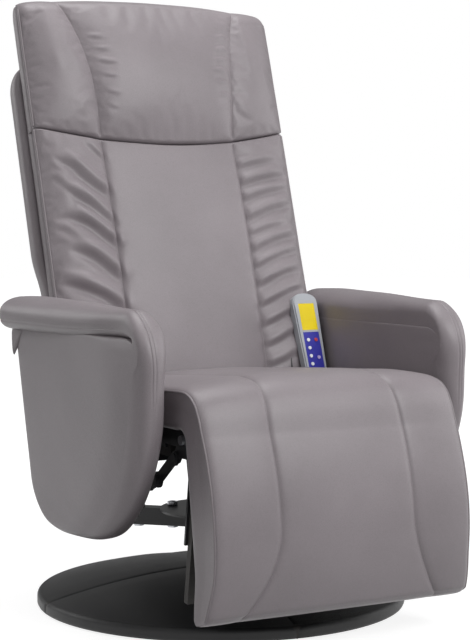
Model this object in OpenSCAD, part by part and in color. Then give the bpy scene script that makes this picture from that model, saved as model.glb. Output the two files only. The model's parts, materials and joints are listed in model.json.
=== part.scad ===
/* [Base] */
// Diameter of the round base
base_d = 636; // [560:1:700]
// Thickness of the base board
board_h = 20; // [16:1:30]
// Thickness of the soft pad under the base
floor_pad_h = 3; // [2:0.5:6]
// Thickness of the cover stretched over the base
base_cover_t = 1.5; // [1:0.5:3]
// Rise of the padded base from its rim to its middle
base_crown = 42; // [30:1:48]
// Outer diameter of the post
post_d = 60; // [50:1:76]
// Wall of the post
post_wall = 3; // [2:0.5:5]
// Height of the underside of the spider above the floor
spider_z = 128; // [125:1:170]

/* [Spider and pedestal] */
// Height of the spider's box tubes
spider_h = 30; // [25:1:40]
// Width of the spider's box tubes
spider_w = 28; // [22:1:36]
// Reach of each spider arm from the swivel axis
spider_reach = 168; // [150:1:185]
// Outer diameter of the pedestal tubes
pedestal_d = 22; // [16:1:26]
// Diameter of the swivel spindle
spindle_d = 25; // [20:1:32]

/* [Seat] */
// Height of the underside of the seat cushion
seat_z = 340; // [325:1:380]
// Width of the seat cushion
seat_w = 466; // [430:1:560]
// Thickness of the seat cushion at its sides
seat_pad_t = 56; // [44:1:70]
// How much higher the cushion stands along its middle
seat_crown = 16; // [6:1:24]
// Depth of the seat from the footrest hinge to the rear edge of the cushion
seat_depth = 308; // [290:1:310]
// Height of the wooden seat rails
rail_h = 45; // [40:1:50]
// Thickness of the wooden seat rails
rail_t = 20; // [16:1:24]

/* [Footrest] */
// Length of the footrest from its hinge to its lower edge
footrest_l = 276; // [240:1:285]
// Forward lean of the footrest at rest, in degrees
footrest_lean = 8; // [4:0.5:12]
// Thickness of the footrest cushion at its hinge
footrest_t = 66; // [56:1:76]
// Thickness of the footrest board
footrest_board_t = 12; // [9:1:18]

/* [Back] */
// How much wider the back is than the seat cushion, on each side
back_overlap = 19; // [8:1:20]
// Length of the back above its pivot
back_l = 738; // [700:1:780]
// Backward lean of the back at rest, in degrees
back_lean = 17.2; // [14:0.2:20]
// Thickness of the front cushion of the back at its sides
back_pad_t = 46; // [38:1:56]
// Thickness of the padded rear shell of the back
back_shell_t = 48; // [44:1:58]
// Distance from the pivot up to the seam under the headrest
headrest_v = 500; // [470:1:530]
// Distance from the pivot up to the top of the rear shell
shell_top_v = 625; // [600:1:650]
// Distance of the back pivot behind the front edge of the back
pivot_w = 81.4; // [76:0.1:86]

/* [Arms] */
// Space between the seat cushion and each arm
arm_clearance = 23; // [23:1:40]
// Thickness of each arm panel
arm_t = 60; // [54:1:80]
// Height of the underside of the arm cushions
arm_pad_z = 474; // [462:1:500]
// Thickness of the arm cushions
arm_pad_t = 56; // [46:1:66]
// How far the arm cushion overhangs the arm panel at the rear
arm_overhang = 30; // [16:1:40]
// Height of the lowest point of the arm panels
arm_bottom_z = 149; // [140:1:190]

/* [Mechanism] */
// Thickness of the steel plates and links
plate_t = 4; // [3:0.5:5]
// Diameter of the pivot bolts
pivot_d = 8; // [6:0.5:10]
// Length of the footrest crank
crank_f = 35; // [30:1:38]
// Reclining travel of the back, in degrees
recline_travel = 35; // [25:1:38]

/* [Handset and massage units] */
// Width of the handset at its head
handset_w = 52; // [44:1:56]
// Length of the handset
handset_l = 158; // [140:1:170]
// Thickness of the handset
handset_t = 20; // [16:1:21]
// Diameter of the handset cord
cord_d = 3.6; // [3:0.2:4]
// Diameter of the massage unit cases
motor_d = 64; // [50:1:72]
// Thickness of the massage unit cases
motor_h = 20; // [16:1:21]

/* [Hidden] */
$fn = 48;

// Clearances
running = 0.15;
seat_gap = 0.3;
soft_gap = 0.5;

// Colours
leather = [0.55, 0.51, 0.53];
black_leather = [0.13, 0.13, 0.14];
black_steel = [0.05, 0.05, 0.055];
bare_steel = [0.62, 0.63, 0.65];
wood = [0.72, 0.58, 0.4];
cloth = [0.16, 0.16, 0.17];
strap = [0.3, 0.29, 0.28];
case_grey = [0.72, 0.73, 0.75];
case_black = [0.08, 0.08, 0.09];

// Heights of the base
board_z = floor_pad_h;
board_top = board_z + board_h;
cover_z = board_top + base_cover_t;
base_edge = 8;
dome_facets = 720;
seam_turn = -7;
dome_base_r = base_d / 2 - base_edge;
dome_r = (pow(dome_base_r, 2) + pow(base_crown, 2)) / (2 * base_crown);
dome_centre_z = cover_z + base_crown - dome_r;
collar_z = dome_centre_z + sqrt(pow(dome_r, 2) - pow(post_d / 2, 2));
flange_d = 190;
flange_h = 5;
flange_bolt_pcd = 150;
flange_bolt_d = 8;
race_h = 6;
race_gap = 2;
ball_d = 8;
race_d = post_d + 24;
ball_gap = 0.2;
hub_flange_h = 6;
upper_race_z = spider_z - hub_flange_h - race_h;
ball_z = upper_race_z - race_gap / 2;
lower_race_z = upper_race_z - race_gap - race_h;
post_top_z = lower_race_z;
ball_pcd = post_d + 2;
ball_count = 18;
bush_wall = post_d / 2 - post_wall - spindle_d / 2 - 2 * running;
bush_h = 50;
plate_d = 212;
spider_top = spider_z + spider_h;
hub_block = 40;
bolt_s = 88;
pedestal_s = 150;

// The two hinge lines of the recliner, as [y, z]
hinge_f = [-266, seat_z - 16];
hinge_b = [140, seat_z - 16];
half_travel = recline_travel / 2;
crank_b = crank_f * sin(recline_travel) / sin(half_travel);
pin_f = hinge_f + crank_f * [sin(recline_travel), -cos(recline_travel)];
pin_b = hinge_b + crank_b * [sin(half_travel), -cos(half_travel)];

// Seat box
rail_top = seat_z - 4;
rail_z = rail_top - rail_h;
rail_x = seat_w / 2 - 45;
box_front = -210;
box_rear = 112;
cross_h = 20;
pedestal_xy = pedestal_s / sqrt(2);

// Side mechanism, outwards from the seat rail
plate_x = rail_x + rail_t;
washer_t = 1.5;
bracket_x = plate_x + plate_t + washer_t + seat_gap;
link_x = bracket_x + plate_t + seat_gap;
ear_r = 13;
pin_r = pivot_d / 2;
crank_pin_r = 4;
// Room round the footrest pin in the link's slot, and how far that pin drops in mid travel
link_clear = 0.6;
slot_drop = crank_f * (1 - cos(recline_travel)) - crank_b * (1 - cos(half_travel));

// Back, in its own frame: x across, v up from the pivot, w back from the front edge plane
back_w = seat_w + 2 * back_overlap;
upright_t = 22;
frame_w0 = back_pad_t;
frame_w1 = frame_w0 + upright_t;
shell_rear = back_pad_t + back_shell_t;
back_bottom_v = 14;
back_foot_v = 30;
pocket_top_v = shell_top_v - 28;
pocket_w1 = shell_rear - 13;
pocket_x = back_w / 2 - 18;
upright_x1 = bracket_x - seat_gap;
upright_x0 = upright_x1 - 22;
strap_t = 2;
strap_w = 50;
lumbar_v = 248;
upper_v = headrest_v - 2;
motor_x = 112;
seat_motor_y = -130;

// Arms
arm_x0 = seat_w / 2 + arm_clearance;
arm_x1 = arm_x0 + arm_t;
arm_board_t = 18;
arm_skin = 8;
arm_front_y = -286;
arm_rear_y = 156;
fixing_y = [-150, -40, 50];
fixing_z = rail_z + 26;

// Handset, in its own frame: x across, l up along it, d out of its face
handset_lean = 19;
handset_foot = [seat_w / 2 - 12, hinge_f[0] + seat_depth + 9, seat_z + 30];
keypad_l0 = 14;
keypad_l1 = 84;
display_l0 = 88;
display_l1 = 138;
panel_t = 1;
button_d = 6.4;
button_h = 2.2;
button_pitch = 15;
button_travel = 0.8;
shell_split = handset_t * 0.55;

// The free stretch of the handset cord: from the clip up behind the handset, over and round to its foot.
// The points were chosen round a handset standing at cord_origin and move with it
cord_origin = [221, 51, 376];
cord_points = [
    [238, 65, 328], [238, 64.5, 342], [237.5, 62.5, 356], [236.5, 60, 370], [234.5, 62, 384],
    [231, 65.5, 398], [225.5, 69.5, 411], [218, 73, 423], [209, 74.8, 431], [200, 74.8, 434],
    [192, 73, 431.5], [186, 69.5, 423], [182.5, 64.5, 411], [181.5, 59.5, 398], [182, 55, 385],
    [184, 50.5, 373], [188, 46.5, 362.5], [194, 43, 355.5], [202, 40, 351.5], [210, 37, 350.5],
    [217, 35, 353], [220.5, 35, 358], [221, 36, 363], [221, 37.6, 367.8]
];
cord_route = [for (p = cord_points) p + handset_foot - cord_origin];

// Shape helpers
function mean_point(l) = [for (p = l) 1] * l / len(l);
function smooth(t) = t * t * (3 - 2 * t);
function clamp01(t) = min(1, max(0, t));

// Closed skin through rings of points, each ring with as many points as the first
module loft(rings) {
    n = len(rings[0]);
    k = len(rings);
    points = concat([for (r = rings) each r], [mean_point(rings[0]), mean_point(rings[k - 1])]);
    sides = [
        for (j = [0:k - 2], i = [0:n - 1])
            let (a = j * n + i, b = j * n + (i + 1) % n)
                each [[a, b + n, b], [a, a + n, b + n]]
    ];
    first = [for (i = [0:n - 1]) [k * n, i, (i + 1) % n]];
    last = [for (i = [0:n - 1]) [k * n + 1, (k - 1) * n + (i + 1) % n, (k - 1) * n + i]];
    polyhedron(concat([for (p = points) p]), concat(sides, first, last), convexity = 8);
}

// Ring with softly squared corners round the origin
function soft_ring(hw, hh, n, power) = [
    for (i = [0:n - 1])
        let (a = 360 * i / n, c = cos(a), s = sin(a))
            [hw * sign(c) * pow(abs(c), 2 / power), hh * sign(s) * pow(abs(s), 2 / power)]
];

// Section of a boxed cushion as [x, t]: flat below, drawn-in sides, a crown with two sewn channels
channel_w = 7;
channel_depth = 5;
function crown_at(x, hw, crown) = crown * (1 - pow(abs(x / hw), 2.6));
function cushion_section(hw, t, crown, seam_x, draw = 5, depth = channel_depth) =
    let (
        half = [0, 0.3, seam_x / hw - 0.09, (seam_x - channel_w) / hw, seam_x / hw,
                (seam_x + channel_w) / hw, (1 + seam_x / hw) / 2, 0.95],
        top = concat([for (i = [len(half) - 1:-1:1]) half[i]], [for (f = half) -f])
    )
    concat(
        [[-hw + 9, 0], [0, 0], [hw - 9, 0], [hw - draw / 2, 0.22 * t], [hw - draw, 0.5 * t],
         [hw - draw / 2, 0.78 * t], [hw, 0.93 * t]],
        [for (f = top)
            let (
                x = f * hw,
                edge = abs(f) > 0.9 ? 0.3 : 1,
                groove = abs(abs(x) - seam_x) < 0.1 ? depth : 0
            )
            [x, t + edge * crown_at(x, hw, crown) - groove]],
        [[-hw, 0.93 * t], [-hw + draw / 2, 0.78 * t], [-hw + draw, 0.5 * t],
         [-hw + draw / 2, 0.22 * t]]
    );

// Places a [x, t] section at a point of the y-z plane, with t along the given direction
function placed(section, at, dir) = [
    for (p = section) [p[0], at[0] + dir[0] * p[1], at[1] + dir[1] * p[1]]
];

module both_sides() {
    for (side = [0, 1])
        mirror([side, 0, 0])
            children();
}

module tube(d, wall, h) {
    difference() {
        cylinder(d = d, h = h);
        translate([0, 0, -1])
            cylinder(d = d - 2 * wall, h = h + 2);
    }
}

// A flat steel plate in the y-z plane, its inner face at x
module yz_plate(x, t) {
    translate([x, 0, 0])
        rotate([90, 0, 90])
            linear_extrude(t)
                children();
}

module disc_at(p, r) {
    translate(p)
        circle(r);
}

module bar(a, b, w) {
    d = b - a;
    translate(a)
        rotate(atan2(d[1], d[0]))
            translate([0, -w / 2])
                square([norm(d), w]);
}

// Base
module floor_pad() {
    color(cloth)
        cylinder(d = base_d - 30, h = floor_pad_h, $fn = 96);
}

// Half outline of the padded base: a rounded rim, and a shallow dome inside it
module base_profile(inset) {
    r = base_d / 2 - inset;
    edge = base_edge - inset;
    top = cover_z - inset;
    translate([0, board_z])
        square([r, top - edge - board_z]);
    translate([0, board_z])
        square([r - edge, top - board_z]);
    translate([r - edge, top - edge])
        circle(edge);
    intersection() {
        translate([0, dome_centre_z])
            circle(dome_r - inset, $fn = dome_facets);
        translate([0, board_z])
            square([dome_base_r, cover_z + base_crown]);
    }
}

module base_board() {
    color(wood)
        difference() {
            rotate_extrude($fn = 96)
                intersection() {
                    base_profile(base_cover_t);
                    translate([0, board_z])
                        square([base_d, board_h]);
                }
            base_bolt_holes();
        }
}

module base_bolt_holes() {
    for (i = [0:3])
        rotate(90 * i)
            translate([flange_bolt_pcd / 2, 0, 0])
                cylinder(d = flange_bolt_d + 2 * running, h = 60);
}

// Foam between the board and the cover, with room for the post and its flange
module base_foam() {
    pocket_h = flange_h + 9;
    color(strap)
        rotate_extrude($fn = 96)
            difference() {
                base_profile(base_cover_t);
                square([base_d, board_top]);
                square([flange_d / 2 + 1, board_top + pocket_h]);
                square([post_d / 2 + 8, cover_z + base_crown]);
            }
}

// Leather cover in four quarters, with a sunk seam between quarters
module base_cover() {
    seam_w = 1.6;
    seam_depth = 0.8;
    color(black_leather)
        difference() {
            rotate_extrude($fn = 96)
                difference() {
                    base_profile(0);
                    base_profile(base_cover_t);
                    square([post_d / 2 + seat_gap, cover_z + base_crown + 1]);
                }
            for (i = [0:3])
                rotate([90, 0, 90 * i + seam_turn])
                    translate([0, 0, -seam_w / 2])
                        linear_extrude(seam_w)
                            intersection() {
                                difference() {
                                    translate([0, dome_centre_z])
                                        circle(dome_r + 3, $fn = dome_facets);
                                    translate([0, dome_centre_z])
                                        circle(dome_r - seam_depth, $fn = dome_facets);
                                }
                                translate([post_d / 2 + 10, 0])
                                    square([dome_base_r, 100]);
                            }
        }
}

// Rubber collar that closes the cover round the post
module post_collar() {
    color(case_black)
        translate([0, 0, collar_z])
            difference() {
                cylinder(d1 = post_d + 20, d2 = post_d + 10, h = 8);
                translate([0, 0, -1])
                    cylinder(d = post_d, h = 10);
            }
}

// Post with its flange, and the studs and nuts that hold it to the board
module base_post() {
    nut_h = 6;
    color(black_steel) {
        difference() {
            union() {
                translate([0, 0, board_top])
                    cylinder(d = flange_d, h = flange_h);
                translate([0, 0, board_top])
                    cylinder(d = post_d, h = post_top_z - board_top);
                translate([0, 0, board_top + flange_h])
                    cylinder(d1 = post_d + 14, d2 = post_d, h = 7);
            }
            translate([0, 0, board_top - 1])
                cylinder(d = post_d - 2 * post_wall, h = post_top_z);
        }
        for (i = [0:3])
            rotate(90 * i)
                translate([flange_bolt_pcd / 2, 0, 0]) {
                    translate([0, 0, board_z + 1])
                        cylinder(d = flange_bolt_d, h = board_h + flange_h);
                    translate([0, 0, board_top + flange_h])
                        cylinder(d = 15, h = nut_h, $fn = 6);
                }
    }
}

module post_bush() {
    outer = post_d - 2 * post_wall;
    color(case_black)
        translate([0, 0, post_top_z - bush_h])
            tube(outer, (outer - spindle_d) / 2 - running, bush_h);
}

module race(z) {
    translate([0, 0, z])
        difference() {
            cylinder(d = race_d, h = race_h);
            translate([0, 0, -1])
                cylinder(d = spindle_d + 12, h = race_h + 2);
            children();
        }
}

// Ball track shared by both races
module ball_track(z) {
    translate([0, 0, z])
        rotate_extrude()
            translate([ball_pcd / 2, 0])
                circle(d = ball_d + 2 * ball_gap, $fn = 24);
}

module lower_race() {
    color(bare_steel)
        race(lower_race_z)
            ball_track(ball_z - lower_race_z);
}

module upper_race() {
    color(bare_steel)
        race(upper_race_z)
            ball_track(ball_z - upper_race_z);
}

module bearing_balls() {
    color(bare_steel)
        for (i = [0:ball_count - 1])
            rotate(i * 360 / ball_count)
                translate([ball_pcd / 2, 0, ball_z])
                    sphere(d = ball_d, $fn = 24);
}

// Swivel and spider
module swivel_hub() {
    spindle_l = upper_race_z - post_top_z + bush_h - 6 + race_h;
    color(black_steel) {
        translate([0, 0, spider_z - hub_flange_h])
            cylinder(d = race_d + 6, h = hub_flange_h);
        translate([0, 0, spider_z - hub_flange_h - spindle_l])
            cylinder(d = spindle_d, h = spindle_l + 1);
        rotate(45)
            translate([-hub_block / 2, -hub_block / 2, spider_z - 1])
                cube([hub_block, hub_block, spider_h + 1]);
    }
}

module spider_arms() {
    wall = 3;
    color(black_steel)
        for (i = [0:3])
            rotate(45 + 90 * i)
                difference() {
                    translate([hub_block / 2, -spider_w / 2, spider_z])
                        cube([spider_reach - hub_block / 2, spider_w, spider_h]);
                    translate([hub_block / 2 + wall, -spider_w / 2 + wall, spider_z + wall])
                        cube([spider_reach, spider_w - 2 * wall, spider_h - 2 * wall]);
                    for (s = [bolt_s, pedestal_s])
                        translate([s, 0, spider_z - 1])
                            cylinder(d = 10 + 2 * running, h = spider_h + 2);
                }
}

module spider_plate() {
    color(black_steel)
        difference() {
            translate([0, 0, spider_top])
                cylinder(d = plate_d, h = 4);
            for (i = [0:3])
                rotate(45 + 90 * i)
                    translate([bolt_s, 0, 0])
                        cylinder(d = 10 + 2 * running, h = spider_top + 5);
        }
}

module spider_bolts() {
    color(bare_steel)
        for (i = [0:3])
            rotate(45 + 90 * i)
                for (s = [bolt_s, pedestal_s])
                    translate([s, 0, 0]) {
                        translate([0, 0, spider_z - 4])
                            cylinder(d = 19, h = 4, $fn = 6);
                        translate([0, 0, spider_z - 1])
                            cylinder(d = 10, h = spider_h + (s == bolt_s ? 13 : 25));
                        if (s == bolt_s)
                            translate([0, 0, spider_top + 4])
                                cylinder(d = 19, h = 7, $fn = 6);
                    }
}

// Four tubes that carry the seat box on the spider, each threaded over its bolt
module pedestal_tubes() {
    color(black_steel)
        for (i = [0:3])
            rotate(45 + 90 * i)
                translate([pedestal_s, 0, spider_top])
                    difference() {
                        cylinder(d = pedestal_d, h = rail_z - cross_h - spider_top);
                        translate([0, 0, -1])
                            cylinder(d = 10 + 2 * running, h = 32);
                    }
}

// Seat box
module cross_rails() {
    wall = 2;
    half_l = rail_x + rail_t;
    color(black_steel)
        for (y = [-pedestal_xy, pedestal_xy])
            difference() {
                translate([-half_l, y - cross_h / 2, rail_z - cross_h])
                    cube([2 * half_l, cross_h, cross_h]);
                translate([-half_l - 1, y - cross_h / 2 + wall, rail_z - cross_h + wall])
                    cube([2 * half_l + 2, cross_h - 2 * wall, cross_h - 2 * wall]);
            }
}

module seat_rails() {
    glue = 0.2;
    color(wood) {
        both_sides()
            difference() {
                translate([rail_x, box_front, rail_z])
                    cube([rail_t, box_rear - box_front, rail_h]);
                for (y = fixing_y)
                    translate([rail_x - 1, y, fixing_z])
                        rotate([0, 90, 0])
                            cylinder(d = 8 + 2 * running, h = rail_t + 2);
            }
        for (y = [box_front, box_rear - rail_t])
            translate([-rail_x + glue, y, rail_z])
                cube([2 * (rail_x - glue), rail_t, rail_h]);
    }
}

// Elastic straps: across the box first, then along it
module webbing() {
    color(strap) {
        for (y = [-160, -85, -10, 65])
            translate([-rail_x - rail_t + 2, y - strap_w / 2, rail_top])
                cube([2 * (rail_x + rail_t - 2), strap_w, strap_t]);
        for (x = [-140, -70, 0, 70, 140])
            translate([x - strap_w / 2, box_front + 2, rail_top + strap_t])
                cube([strap_w, box_rear - box_front - 4, strap_t]);
    }
}

module dust_cover() {
    color(cloth)
        difference() {
            translate([-rail_x - rail_t, box_front, rail_z - 1])
                cube([2 * (rail_x + rail_t), box_rear - box_front, 1]);
            for (y = [-pedestal_xy, pedestal_xy])
                translate([-300, y - cross_h / 2 - seat_gap, rail_z - 2])
                    cube([600, cross_h + 2 * seat_gap, 3]);
        }
}

// Steel side plate with the footrest hinge at its front ear and the back pivot at its rear ear
module side_plates() {
    low = fixing_z - 12;
    color(black_steel)
        both_sides()
            yz_plate(plate_x, plate_t)
                difference() {
                    union() {
                        disc_at(hinge_f, ear_r);
                        disc_at(hinge_b, ear_r);
                        bar(hinge_f, hinge_b, 2 * ear_r);
                        translate([box_front + 12, low])
                            square([box_rear - box_front - 24, hinge_f[1] + ear_r - low]);
                    }
                    for (p = [hinge_f, hinge_b])
                        disc_at(p, pin_r + running);
                    for (y = fixing_y)
                        disc_at([y, fixing_z], 4 + running);
                }
}

// Shoulder bolts of the four pivots, and the rivets of the drive links
module pivot_bolts() {
    head_h = 4;
    color(bare_steel)
        both_sides()
            for (p = [hinge_f, hinge_b])
                translate([0, p[0], p[1]])
                    rotate([0, 90, 0]) {
                        translate([0, 0, plate_x - 5])
                            cylinder(d = pivot_d, h = bracket_x + plate_t + seat_gap + 1 - plate_x + 5);
                        translate([0, 0, bracket_x + plate_t + seat_gap])
                            cylinder(d = 15, h = head_h);
                        translate([0, 0, plate_x + plate_t])
                            difference() {
                                cylinder(d = 19, h = washer_t);
                                translate([0, 0, -1])
                                    cylinder(d = pivot_d + 2 * running, h = 4);
                            }
                    }
}

// Dog-leg link from the back crank forward and up to the footrest crank, with its knee boss
knee_a = pin_f + crank_f * [1.6, -1.2];
knee_b = pin_f + crank_f * [2.4, -1.54];
module drive_link() {
    link_w = 18;
    color(black_steel) {
        yz_plate(link_x, plate_t)
            difference() {
                union() {
                    disc_at(pin_f, link_w / 2 + 1);
                    disc_at(pin_f - [0, slot_drop], link_w / 2 + 1);
                    bar(pin_f, knee_a, link_w);
                    disc_at(knee_a, link_w / 2 + 4);
                    bar(knee_a, knee_b, link_w);
                    disc_at(knee_b, link_w / 2 + 1);
                    bar(knee_b, pin_b, link_w);
                    disc_at(pin_b, link_w / 2 + 1);
                }
                for (drop = [0, slot_drop])
                    disc_at(pin_f - [0, drop], crank_pin_r + link_clear + 0.05);
                translate(pin_f - [crank_pin_r + link_clear, slot_drop])
                    square([2 * (crank_pin_r + link_clear), slot_drop]);
                disc_at(pin_b, crank_pin_r + running);
            }
        translate([link_x + plate_t, knee_a[0], knee_a[1]])
            rotate([0, 90, 0])
                cylinder(d = 16, h = 7);
    }
}

module drive_link_right() {
    drive_link();
}

module drive_link_left() {
    mirror([1, 0, 0])
        drive_link();
}

// Pin of a crank, out through the link, with its flat head beyond the link
module crank_pin() {
    rotate([0, 90, 0]) {
        translate([0, 0, bracket_x + plate_t - 1])
            cylinder(r = crank_pin_r, h = link_x + plate_t + seat_gap + 1 - bracket_x - plate_t + 1);
        translate([0, 0, link_x + plate_t + seat_gap])
            cylinder(r = crank_pin_r + 3, h = 2);
    }
}

// Footrest, in its own frame: s down from the hinge, n out to the front
f_down = [-sin(footrest_lean), -cos(footrest_lean)];
f_out = [-cos(footrest_lean), sin(footrest_lean)];
f_rear = 30;
function f_point(s, n) = hinge_f + s * f_down + n * f_out;

module footrest_brackets() {
    arm_l = 160;
    flange = 26;
    color(black_steel)
        both_sides()
            difference() {
                union() {
                    yz_plate(bracket_x, plate_t)
                        union() {
                            disc_at(hinge_f, ear_r);
                            disc_at(pin_f, 10);
                            bar(hinge_f, pin_f, 20);
                            polygon([
                                hinge_f + ear_r * f_out, f_point(ear_r, f_rear), f_point(arm_l, f_rear),
                                f_point(arm_l, f_rear - 14), f_point(30, f_rear - 22), pin_f
                            ]);
                        }
                    translate([0, hinge_f[0], hinge_f[1]])
                        rotate([footrest_lean, 0, 0])
                            translate([bracket_x + plate_t - flange, -f_rear, -arm_l])
                                cube([flange, plate_t, arm_l - 34]);
                    translate([0, pin_f[0], pin_f[1]])
                        crank_pin();
                }
                translate([bracket_x - 1, hinge_f[0], hinge_f[1]])
                    rotate([0, 90, 0])
                        cylinder(d = pivot_d + 2 * running, h = plate_t + 2);
            }
}

module footrest_local() {
    translate([0, hinge_f[0], hinge_f[1]])
        rotate([footrest_lean, 0, 0])
            children();
}

board_s0 = 26;
board_side = 20;
module board_block(extra) {
    footrest_local()
        translate([-seat_w / 2 + board_side - extra, -f_rear - footrest_board_t - extra,
                   -footrest_l + 24 - extra])
            cube([seat_w - 2 * board_side + 2 * extra, footrest_board_t + 2 * extra,
                  footrest_l - 24 - board_s0 + 2 * extra]);
}

module footrest_board() {
    color(wood)
        board_block(0);
}

// Half spacing of the two sewn channels along the seat and the footrest
function front_seam(f) = 122 + 50 * pow(clamp01((f - 0.45) / 0.55), 1.6);
function footrest_thick(f) =
    footrest_t + 28 * sin(180 * pow(f, 0.9)) - 34 * pow(f, 4);

module footrest_pad() {
    steps = [0, 0.06, 0.18, 0.32, 0.48, 0.64, 0.78, 0.88, 0.95, 1];
    color(leather)
        difference() {
            loft(concat(
                [for (f = steps)
                    placed(
                        cushion_section(seat_w / 2, footrest_thick(f), 9, front_seam(f)),
                        f_point(max(seat_gap + 0.2, f * footrest_l), f_rear), f_out
                    )],
                [placed(
                    cushion_section(seat_w / 2 - 6, 20, 3, front_seam(1)),
                    f_point(footrest_l + 6, f_rear + 4), f_out
                )]
            ));
            board_block(seat_gap);
        }
}

// Rounded bend of the cushion over the hinge: angles run from straight up to the footrest's top face
module knee_pad() {
    steps = 8;
    color(leather)
        loft([
            for (i = [0:steps])
                let (
                    f = i / steps,
                    a = 90 - f * (90 - footrest_lean),
                    dir = [-cos(a), sin(a)],
                    r_in = seat_z - hinge_f[1] + f * (f_rear - seat_z + hinge_f[1]),
                    r_out = seat_z - hinge_f[1] + seat_pad_t
                        + (footrest_t + f_rear - seat_z + hinge_f[1] - seat_pad_t) * pow(f, 2.2)
                )
                placed(
                    cushion_section(seat_w / 2, r_out - r_in, seat_crown - 7 * f,
                                    98 + 24 * smooth(f)),
                    hinge_f + r_in * dir, dir
                )
        ]);
}

// Seat cushion: its rear end leans back and curves in towards the arms
module seat_pad() {
    steps = [0, 0.03, 0.1, 0.25, 0.45, 0.65, 0.85, 1];
    rear = hinge_f[0] + seat_depth;
    rear_lean = 18;
    rear_bow = 30;
    color(leather)
        difference() {
            loft([
                for (f = steps)
                    let (
                        round_off = f < 0.1 ? 1 - f * 10 : 0,
                        pull = pow(1 - clamp01(f / 0.4), 1.5),
                        t = seat_pad_t * (1 - 0.2 * pow(round_off, 2)),
                        section = cushion_section(
                            seat_w / 2 - 5 * round_off, t, seat_crown * (1 - 0.4 * round_off), 98
                        )
                    )
                    [for (p = section) [
                        p[0],
                        rear - f * seat_depth
                            + pull * (rear_lean * p[1] / seat_pad_t
                                      - rear_bow * pow(abs(2 * p[0] / seat_w), 3)),
                        seat_z + p[1]
                    ]]
            ]);
            handset_local()
                translate([-handset_w / 2 - 1, -handset_t - 2.5, -4])
                    cube([handset_w + 2, handset_t + 4, handset_l]);
        }
}

// Back
module back_local() {
    translate([0, hinge_b[0], hinge_b[1]])
        rotate([-back_lean, 0, 0])
            translate([0, -pivot_w, 0])
                children();
}

// Steel bracket: crank below the pivot and a strap up the outside of the upright
module back_brackets() {
    reach_v = 190;
    up = [sin(back_lean), cos(back_lean)];
    out = [cos(back_lean), -sin(back_lean)];
    foot = hinge_b - pivot_w * out;
    w0 = frame_w0 + 2;
    w1 = frame_w1 - 2;
    color(black_steel)
        both_sides()
            difference() {
                union() {
                    yz_plate(bracket_x, plate_t)
                        union() {
                            disc_at(hinge_b, ear_r);
                            disc_at(pin_b, 11);
                            bar(hinge_b, pin_b, 22);
                            polygon([
                                hinge_b + ear_r * out, foot + (pocket_w1 - 3) * out + back_bottom_v * up,
                                foot + w1 * out + 60 * up,
                                foot + w1 * out + reach_v * up, foot + w0 * out + reach_v * up,
                                foot + w0 * out + 34 * up, hinge_b - ear_r * out
                            ]);
                        }
                    translate([0, pin_b[0], pin_b[1]])
                        crank_pin();
                }
                translate([bracket_x - 1, hinge_b[0], hinge_b[1]])
                    rotate([0, 90, 0])
                        cylinder(d = pivot_d + 2 * running, h = plate_t + 2);
            }
}

// Wooden frame of the back: two uprights and three rails between them
module back_frame() {
    rail_high = 40;
    glue = 0.2;
    top_v = pocket_top_v - 4;
    color(wood)
        back_local() {
            both_sides()
                translate([upright_x0, frame_w0, back_foot_v])
                    cube([upright_x1 - upright_x0, upright_t, top_v - back_foot_v]);
            for (v = [back_foot_v, lumbar_v + 102, top_v - rail_high])
                translate([-upright_x0 + glue, frame_w0, v])
                    cube([2 * (upright_x0 - glue), upright_t, rail_high]);
        }
}

module back_straps() {
    color(strap)
        back_local()
            for (v = [120, lumbar_v, upper_v])
                translate([-upright_x1 + 3, frame_w1, v - strap_w / 2])
                    cube([2 * (upright_x1 - 3), strap_t, strap_w]);
}

// Round case of a massage unit along z, with a mounting lip round its middle
module motor_case(h) {
    lip = 4;
    lip_t = 3;
    cylinder(d = motor_d - 2 * lip, h = h);
    translate([0, 0, h - lip_t])
        cylinder(d = motor_d, h = lip_t);
    for (a = [0:45:315])
        rotate(a)
            translate([motor_d / 2 - lip - 2, -1.5, 0])
                cube([lip, 3, h - lip_t]);
}

module back_motor_cases() {
    color(case_black)
        back_local()
            both_sides()
                for (v = [lumbar_v, upper_v])
                    translate([motor_x, frame_w1 - motor_h, v])
                        rotate([-90, 0, 0])
                            motor_case(motor_h);
}

module seat_motor_cases() {
    color(case_black)
        both_sides()
            translate([motor_x, seat_motor_y, rail_top - motor_h])
                motor_case(motor_h);
}

// Places a [x, t] section on the back with t towards the front; dip lowers its middle
function on_back(section, v, w, dip, hw, sense) = [
    for (p = section)
        let (
            vv = v - dip * (1 - pow(p[0] / hw, 2)),
            ww = w - sense * p[1]
        )
        [p[0], ww, vv]
];
seam_dip = 24;

module lumbar_pad() {
    hw = back_w / 2;
    top_v = headrest_v;
    steps = [0, 0.03, 0.12, 0.28, 0.46, 0.64, 0.82, 0.94, 1];
    color(leather)
        back_local()
            loft([
                for (f = steps)
                    let (
                        end = f < 0.06 ? 0.75 + 4 * f : f > 0.97 ? 0.8 : 1,
                        crown = 12 + 10 * sin(180 * clamp01(f))
                    )
                    on_back(
                        cushion_section(hw, back_pad_t * end, crown * end, headrest_seam(0), 4,
                                        f > 0.97 ? 0 : channel_depth),
                        back_bottom_v + f * (top_v - back_bottom_v), back_pad_t,
                        seam_dip * pow(f, 4), hw, 1
                    )
            ]);
}

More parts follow.
